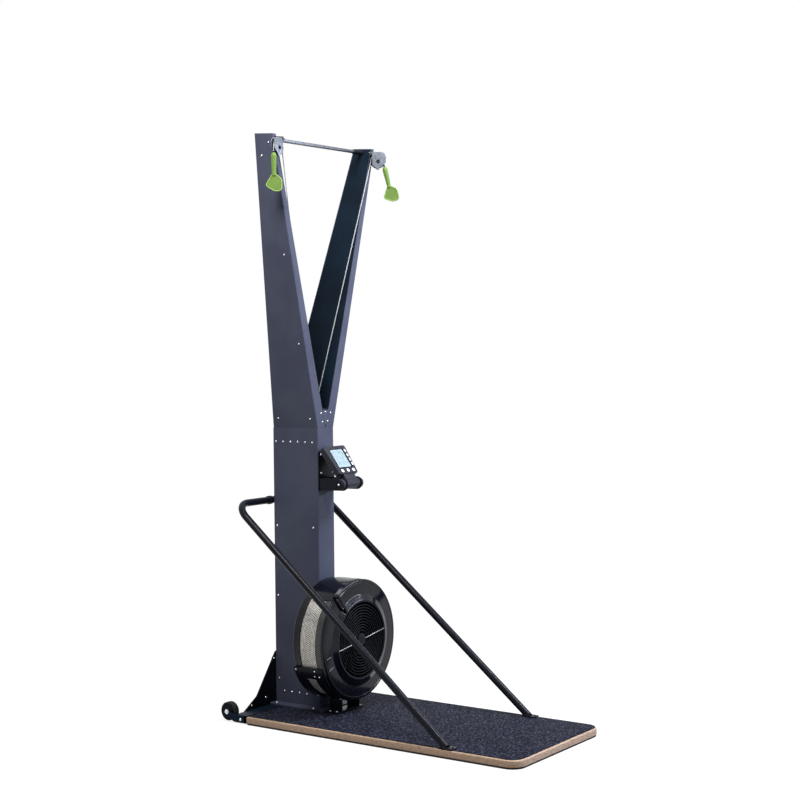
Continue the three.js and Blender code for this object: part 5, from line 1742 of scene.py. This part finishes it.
@dataclass
class Brace:
    """The bent tube from the board's front, up round the back of the column and down again."""

    foot: Pair = (270, 287)
    corner: Pair = (254, 796)
    radius: float = 13.3
    bend_radius: float = 70
    board_top: float = 32
    rear: float = 1198.3
    plate: Pair = (32.3, 36.3)
    plate_half: float = 17
    plate_reach: Pair = (-35, 25)
    bolt_reach: float = 27
    weld: Pair = (14.1, 17.3)
    collar: tuple[Pair, ...] = ((13, 49), (15.2, 49), (15.9, 50), (15.9, 68), (15.2, 69), (13, 70))
    strap_span: Pair = (12.6, 15.4)

    def path(self) -> Array:
        """The tube's middle line from foot to foot: straight runs with a bend at each corner.

        Returns:
            (count, 3) points.
        """
        y = self.rear + self.radius
        half = []
        for sign, _ in SIDES:
            foot = np.array([sign * self.foot[0], self.foot[1], self.board_top + 2])
            corner = np.array([sign * self.corner[0], y, self.corner[1]])
            arc = bend(foot, corner, np.array([0, y, self.corner[1]]), self.bend_radius)
            rise = foot + (arc[0] - foot) * np.linspace(0, 0.98, 24)[:, None]
            half.append(np.concatenate([rise, arc]))
        return np.concatenate([half[0], half[1][::-1]])

    def foot_plate(self, sign: int) -> Form:
        """One foot's plate and the weld bead round the tube, rippled by a sine of the angle.

        Args:
            sign: -1 for the left foot and 1 for the right one.

        Returns:
            Both.
        """
        x, front = sign * self.foot[0], self.foot[1]
        across = (x - self.plate_half, x + self.plate_half)
        along = (front + self.plate_reach[0], front + self.plate_reach[1])
        plate = slab(oblong(across, along, 6), Axis.Z, self.plate, 0.3, 0.9)
        cosine, sine = circle(48)
        wide, long = self.weld
        places = [x + wide * cosine, front + 3.5 + long * sine, 0 * cosine + 37.0]
        ripple = 1.9 + 0.35 * np.sin(14 * np.linspace(0, 2 * np.pi, 48, endpoint=False))
        return joined(plate, closed_tube(np.stack(places, axis=-1), ripple))

    def build(self) -> None:
        """One tube from foot to foot, its foot plates, welds, bolts and the strap behind."""
        y, height = self.rear + self.radius, self.corner[1]
        tube = swept(self.path(), self.radius, 36, (0, 0.45, -0.9))
        feet = [self.foot_plate(sign) for sign, _ in SIDES]
        profiles = [np.array(self.collar) * np.array([1, sign]) for sign, _ in SIDES]
        collars = [turned(profile, Axis.X, (0, y, height), 48, wrap=True) for profile in profiles]
        near, far = self.strap_span
        outline = oblong((-30, 30), (height - 10, height + 10), 3)
        strap = slab(outline, Axis.Y, (y + near, y + far), 0.5, 0.9)
        screws = fasteners(Head.BUTTON, 4, 2.4, (0, 1, 0), [(x, y + far, height) for x in (-23, 23)])
        x, front = self.foot[0], self.foot[1] - self.bolt_reach
        bolts = [(sign * x, front, self.plate[1]) for sign, _ in SIDES]
        heads = fasteners(Head.BUTTON, 4.4, 3, (0, 0, 1), bolts)
        painted = joined(tube, *feet, *collars)
        parts = [(painted, BLACK_PAINT), (strap, BLACK_PAINT), (screws, BRIGHT), (heads, DARK_STEEL)]
        finished("brace_tube", parts, "frame", ["brace_left", "brace_right"], 45)


@dataclass
class Monitor:
    """The tilting display on its bracket, with its buttons and keys.

    Its own frame has the pivot as X, the display facing -Y, and Z up along the display.
    """

    pivot: Triple = (0, 878, 868)
    tilt: float = 36.3
    face: float = -21.7
    back: float = 4.3
    seam: float = 13
    bottom: float = 31.2
    top: float = 152.8
    top_half: float = 64.5
    bottom_half: float = 55
    lcd: Pair = (-39, 33)
    lcd_rise: Pair = (58.8, 134.8)
    button_middle: Pair = (1.5, 43.8)
    button_pitch: float = 32.5
    button_radius: float = 7.4
    key_across: Pair = (43.75, 51.25)
    key_half: float = 6.5
    key_drop: float = 26
    key_pitch: float = 19
    figure: Triple = (7.4, 12.6, 1.5)
    figure_rows: tuple[Triple, ...] = ((122, 5, 1.0), (101, 4, 1.15), (76, 5, 1.0))
    figure_left: float = -33
    figure_pitch: float = 12.4
    colon: float = 2.5
    plate_half: float = 48.25
    plate: Pair = (984.7, 987.7)
    ear: Pair = (41, 45)
    eye: float = 24

    def local(self, form: Form) -> Form:
        """A form from the monitor's frame into the machine's."""
        return form.moved(turn_about(Axis.X, -self.tilt), self.pivot)

    def outline(self, inset: float) -> Array:
        """The case's outline, wider at the top, drawn in.

        Args:
            inset: how far.

        Returns:
            (count, 2) points.
        """
        low, high = self.bottom + inset, self.top - inset
        wide, narrow = self.top_half - inset, self.bottom_half - inset
        corners = [(-narrow, low, 9), (narrow, low, 9), (wide, high, 9), (-wide, high, 9)]
        return outline_of(corners, 10)

    def case(self) -> Form:
        """Front and rear halves with a seam groove between them, and the neck down to the tube.

        Returns:
            The case.
        """
        seam = self.face + self.seam
        front = slab(self.outline(0), Axis.Y, (self.face, seam - 0.5), 3.2, 0.4)
        rear = slab(self.outline(0.3), Axis.Y, (seam + 0.5, self.back), 0.4, 6)
        core = slab(self.outline(1.2), Axis.Y, (seam - 2, seam + 2), 0.2, 0.2)
        neck = block((-32, 32), (self.face + 3, self.face + 23), (8, self.bottom + 8), 2.5)
        return joined(front, rear, core, neck)

    def bezel(self) -> Form:
        """The raised frame round the display window: rings by inset and height.

        Returns:
            The frame.
        """
        (left, right), (low, high) = self.lcd, self.lcd_rise
        outer = oblong((left - 3, right + 3), (low - 3, high + 3), 4, 6)
        rings = inset_outline(outer, np.array([0, 0.3, 1.0, 2.4, 2.9, 3.1]))
        depth = self.face + np.array([0.2, -0.7, -1.1, -0.9, -0.3, 0.4])
        return grid(Axis.Y.place(rings[..., 0], rings[..., 1], depth[:, None]), wrap_columns=True)

    def trim(self) -> Form:
        """The black strip beside the keys and the black rings round the buttons.

        Returns:
            Both.
        """
        low, high = self.lcd_rise
        strip = block((36.4, 42.6), (self.face - 0.5, self.face + 1), (low, high + 2), 0.4)
        base, crown = self.face + 1, self.face - 0.7
        profile = [(7.9, base, 0), (7.9, crown, 0.3), (9.6, crown, 0.5), (10, base, 0), (7.9, base, 0)]
        ring = turned(softened(profile), Axis.Y, sides=40)
        return joined(strip, ring.copies(self.button_places()))

    def button_places(self) -> list[Triple]:
        """The middles of the three buttons."""
        x, z = self.button_middle
        return [(x + k * self.button_pitch, 0, z) for k in (-1, 0, 1)]

    def digits(self) -> Form:
        """The unlit bars of the counters: three rows of seven-bar figures, and their colons' gap.

        Each row is its height, its number of figures and their size.

        Returns:
            The bars.
        """
        depth = (self.face - 0.28, self.face - 0.2)
        half = self.figure[2] / 2
        bars = []
        for row, count, size in self.figure_rows:
            wide, high = self.figure[0] * size, self.figure[1] * size
            low = row - high / 2
            for k in range(count):
                x = self.figure_left + k * self.figure_pitch + (self.colon if k > 1 else 0)
                for z in (low, low + high / 2, low + high):
                    bars.append(block((x + 0.9, x + wide - 0.9), depth, (z - half, z + half), 0.02))
                for side in (x, x + wide):
                    for z in (low + 0.04 * high, low + 0.54 * high):
                        span = (z + 0.3, z + 0.42 * high)
                        bars.append(block((side - half, side + half), depth, span, 0.02))
        return joined(*bars)

    def button(self) -> Form:
        """A round button with a shallow crowned top, at the frame's origin.

        Returns:
            The button.
        """
        radius, front, foot = self.button_radius, self.face, self.face + 3.4
        profile = [(0, front - 2.0, 0), (radius * 0.6, front - 1.8, 2), (radius, front - 1.1, 0.8)]
        profile += [(radius, foot, 0.2), (0, foot, 0)]
        return turned(softened(profile), Axis.Y, sides=40)

    def bracket(self) -> Form:
        """The bent bracket: a base plate on the column and two ears round the pivot tube.

        An ear's outline is the round of its eye and the two straight edges down to the base.

        Returns:
            The bracket.
        """
        outline = oblong((-self.plate_half, self.plate_half), (838, 985), 6)
        base = slab(outline, Axis.Y, self.plate, 0.4, 0.4)
        y, z = self.pivot[1:]
        angle = np.radians(np.linspace(96, 275, 30))
        eye = np.stack([y + self.eye * np.cos(angle), z + self.eye * np.sin(angle)], axis=-1)
        outline = np.vstack([eye, [[985.5, 841], [985.5, 884]]])
        spans = [(sign * self.ear[0], sign * self.ear[1]) for sign, _ in SIDES]
        return joined(base, *(slab(outline, Axis.X, span, 0.5, 0.5) for span in spans))

    def barrel(self) -> list[Part]:
        """The pivot tube with end caps, and the clamping knob at its left with grip flutes.

        A flute is a cosine of twelve times the angle round the knob.

        Returns:
            The tube, the knob and its screw.
        """
        profile = [(0, -62, 0), (8, -62, 0.3), (8, -60, 0.3), (17.5, -60, 0.5), (19, -58, 1)]
        profile += [(19, 58, 1), (17.5, 60, 0.5), (0, 60, 0)]
        tube = turned(softened(profile), Axis.X, sides=64)
        cosine, sine = circle(72)
        flute = 16.1 + 0.5 * np.cos(12 * np.linspace(0, 2 * np.pi, 72, endpoint=False))
        size = np.array([0, 0.55, 0.9, 1.0, 1.0, 0.92, 0])[:, None] * flute
        along = np.array([-68.4, -68.2, -69, -68.2, -63.2, -62.2, -62.2])[:, None]
        knob = grid(Axis.X.place(size * cosine, size * sine, along), wrap_columns=True)
        screw = fasteners(Head.BUTTON, 4.2, 2.2, (-1, 0, 0), [(-68.2, 0, 0)])
        table = ((tube, CASE_PLASTIC), (knob, BLACK_PLASTIC), (screw, BRIGHT))
        return [(self.local(form), finish) for form, finish in table]

    def key(self, number: int) -> Form:
        """One of the four keys at the right of the display, counted from the top.

        Args:
            number: its number, from 0.

        Returns:
            The key.
        """
        middle = self.top - self.key_drop - self.key_pitch * number
        outline = oblong(self.key_across, (middle - self.key_half, middle + self.key_half), 2)
        return slab(outline, Axis.Y, (self.face - 1.5, self.face + 3.5), 0.9, 0.2)

    def build(self) -> None:
        """Makes the case, display, buttons, keys, bracket and their screws."""
        dark = self.local(joined(self.bezel(), self.trim()))
        case = [(self.local(self.case()), CASE_PLASTIC), (dark, BLACK_PLASTIC)]
        finished("monitor_shell", case, "monitor", ["monitor_case"])
        window = oblong(self.lcd, self.lcd_rise, 2)
        lens = slab(window, Axis.Y, (self.face + 0.2, self.face - 0.2), 0.05, 0.05)
        finished("monitor_display", [(self.local(lens), GLASS)], "monitor", ["lcd_lens"])
        finished("monitor_figures", [(self.local(self.digits()), SEGMENTS)], "monitor")
        finished("monitor_pivot", self.barrel(), "monitor", ["pivot_tube"])
        for number, place in enumerate(self.button_places(), 1):
            cap = [(self.local(self.button().copies([place])), KEY_PLASTIC)]
            finished(f"button_cap_{number}", cap, f"push_{number}", [f"button_{number}"])
        for number in range(1, 5):
            cap = [(self.local(self.key(number - 1)), KEY_PLASTIC)]
            finished(f"key_cap_{number}", cap, f"tap_{number}", [f"key_{number}"])
        spots = [(x, self.plate[0], z) for x in (-33, 33) for z in (850, 905, 972)]
        screws = fasteners(Head.BUTTON, 4, 2.4, (0, -1, 0), spots)
        bracket = [(self.bracket(), BLACK_PAINT), (screws, BRIGHT)]
        finished("monitor_bracket_ears", bracket, "frame", ["monitor_bracket"])


# Camera and light


@dataclass
class Studio:
    """The camera of the photograph, a pale floor and soft studio light.

    Places are in metres. A lamp is its name, place, aim, (width, height), power and colour.
    """

    eye: Triple = (-4.64263, -3.17944, 1.38256)
    lens: float = 71.526
    sensor: float = 36
    clip: Pair = (0.1, 60)
    yaw: float = 54.94
    pitch: float = 2.08
    roll: float = 0.52
    floor_half: float = 9
    floor_grey: Pair = (0.24, 0.2)
    floor_glow: Pair = (0.86, 1.0)
    glow_reach: Pair = (1.5, 5.0)
    surround: str = "#e9edf6"
    surround_strength: float = 0.12
    lamps: tuple[tuple[str, Triple, Triple, Pair, float, str], ...] = (
        ("front", (0.7, -1.9, 3.5), (0, 0.3, 1.8), (0.9, 0.9), 140, "#f4f7ff"),
        ("low", (2.5, -2.86, 1.64), (0, 0.3, 0.3), (2.4, 0.2), 72, "#dce6ff"),
        ("left", (-1.7, -0.1, 3.3), (0, 0.4, 1.9), (0.9, 0.9), 84, "#fffaf4"),
        ("top", (0.3, 0.2, 4.2), (0, 0.2, 0.5), (1.0, 1.0), 30, "#ffffff"),
    )

    def place(self, name: str, data: bpy.types.ID, turn: Array, spot: Triple) -> bpy.types.Object:
        """Puts a camera or a lamp in the scene.

        Args:
            name: its name.
            data: its data.
            turn: its 3 x 3 turn.
            spot: its place.

        Returns:
            The object.
        """
        made = bpy.data.objects.new(name, data)
        table = np.eye(4)
        table[:3, :3], table[:3, 3] = turn, spot
        made.matrix_world = Matrix(table.tolist())
        bpy.context.scene.collection.objects.link(made)
        return made

    def camera(self) -> None:
        """Sets the camera: its axes from yaw, pitch and roll."""
        yaw, pitch, roll = np.radians([self.yaw, self.pitch, self.roll])
        ahead = np.array([np.sin(yaw) * np.cos(pitch), np.cos(yaw) * np.cos(pitch), -np.sin(pitch)])
        level = np.array([np.cos(yaw), -np.sin(yaw), 0])
        down = np.cross(ahead, level)
        right = np.cos(roll) * level + np.sin(roll) * down
        below = -np.sin(roll) * level + np.cos(roll) * down
        data = bpy.data.cameras.new("camera")
        data.lens, data.sensor_width = self.lens, self.sensor
        data.clip_start, data.clip_end = self.clip
        turn = np.stack([right, -below, -ahead], axis=-1)
        bpy.context.scene.camera = self.place("camera", data, turn, self.eye)

    def light(self) -> None:
        """Sets the rectangular area lamps, each turned to its aim."""
        for name, spot, aim, size, power, colour in self.lamps:
            data = bpy.data.lights.new(name, "AREA")
            data.shape, data.size, data.size_y, data.energy = "RECTANGLE", *size, power
            data.color = linear(colour)[:3]
            self.place(name, data, turn_to(np.array(spot) - np.array(aim)), spot)

    def seen(self, tree: Tree) -> Socket:
        """One for the rays that show a surface: the camera's, and those through gloss and glass.

        Args:
            tree: the node tree.

        Returns:
            The largest of the three ray tests.
        """
        path = add_node(tree, "LightPath")
        rays = path["Is Camera Ray"]
        for name in ("Is Glossy Ray", "Is Transmission Ray"):
            rays = add_node(tree, "Math", {0: rays, 1: path[name]}, operation="MAXIMUM")[0]
        return rays

    def floor(self) -> None:
        """A pale floor: near white to the camera, and it keeps the machine's soft shadow."""
        half = self.floor_half
        mesh = bpy.data.meshes.new("floor")
        corners = [(-half, -half, 0), (half, -half, 0), (half, half, 0), (-half, half, 0)]
        mesh.from_pydata(corners, [], [(0, 1, 2, 3)])
        floor = bpy.data.objects.new("floor", mesh)
        material = bpy.data.materials.new("pale_floor")
        material.use_nodes = True
        tree = material.node_tree
        tree.nodes.clear()
        (plain, faint), (near, far) = self.floor_grey, self.floor_glow
        matt = add_node(tree, "BsdfDiffuse", {"Color": (plain, plain, plain, 1)})[0]
        shade = add_node(tree, "BsdfDiffuse", {"Color": (faint, faint, faint, 1)})[0]
        spot = add_node(tree, "TexCoord")["Object"]
        away = add_node(tree, "VectorMath", {0: spot}, operation="LENGTH")[1]
        reach = {0: away, 1: self.glow_reach[0], 2: self.glow_reach[1], 3: near, 4: far}
        level = add_node(tree, "MapRange", reach)[0]
        glow = add_node(tree, "Emission", {"Color": (1, 1, 1, 1), "Strength": level})[0]
        lit = add_node(tree, "AddShader", {0: shade, 1: glow})[0]
        both = add_node(tree, "MixShader", {0: self.seen(tree), 1: matt, 2: lit})[0]
        add_node(tree, "OutputMaterial", {"Surface": both})
        mesh.materials.append(material)
        bpy.context.scene.collection.objects.link(floor)

    def world(self) -> None:
        """An even white surround, white to the camera."""
        world = bpy.data.worlds.new("surround")
        world.use_nodes = True
        tree = world.node_tree
        tree.nodes.clear()
        dim = {"Color": linear(self.surround), "Strength": self.surround_strength}
        soft = add_node(tree, "Background", dim)[0]
        white = add_node(tree, "Background", {"Color": (1, 1, 1, 1), "Strength": 1.0})[0]
        both = add_node(tree, "MixShader", {0: self.seen(tree), 1: soft, 2: white})[0]
        add_node(tree, "OutputWorld", {"Surface": both})
        bpy.context.scene.world = world
        bpy.context.scene.view_settings.view_transform = "Standard"

    def build(self) -> None:
        """Sets the camera, the floor, the surround and four lamps."""
        self.camera()
        self.floor()
        self.world()
        self.light()


def main() -> None:
    """Builds the studio and every sub-assembly."""
    logging.basicConfig(level=logging.INFO, format="%(name)s: %(message)s")
    Studio().build()
    Board().build()
    Rear().build()
    Column().build()
    Crossbar().build()
    PullSide("left", -1, toe_out=85, handle_turn=-55, handle_lean=0).build()
    PullSide("right", 1, toe_out=47, handle_turn=-62, handle_lean=13).build()
    Fan().build()
    Brace().build()
    Monitor().build()


if __name__ == "__main__":
    main()
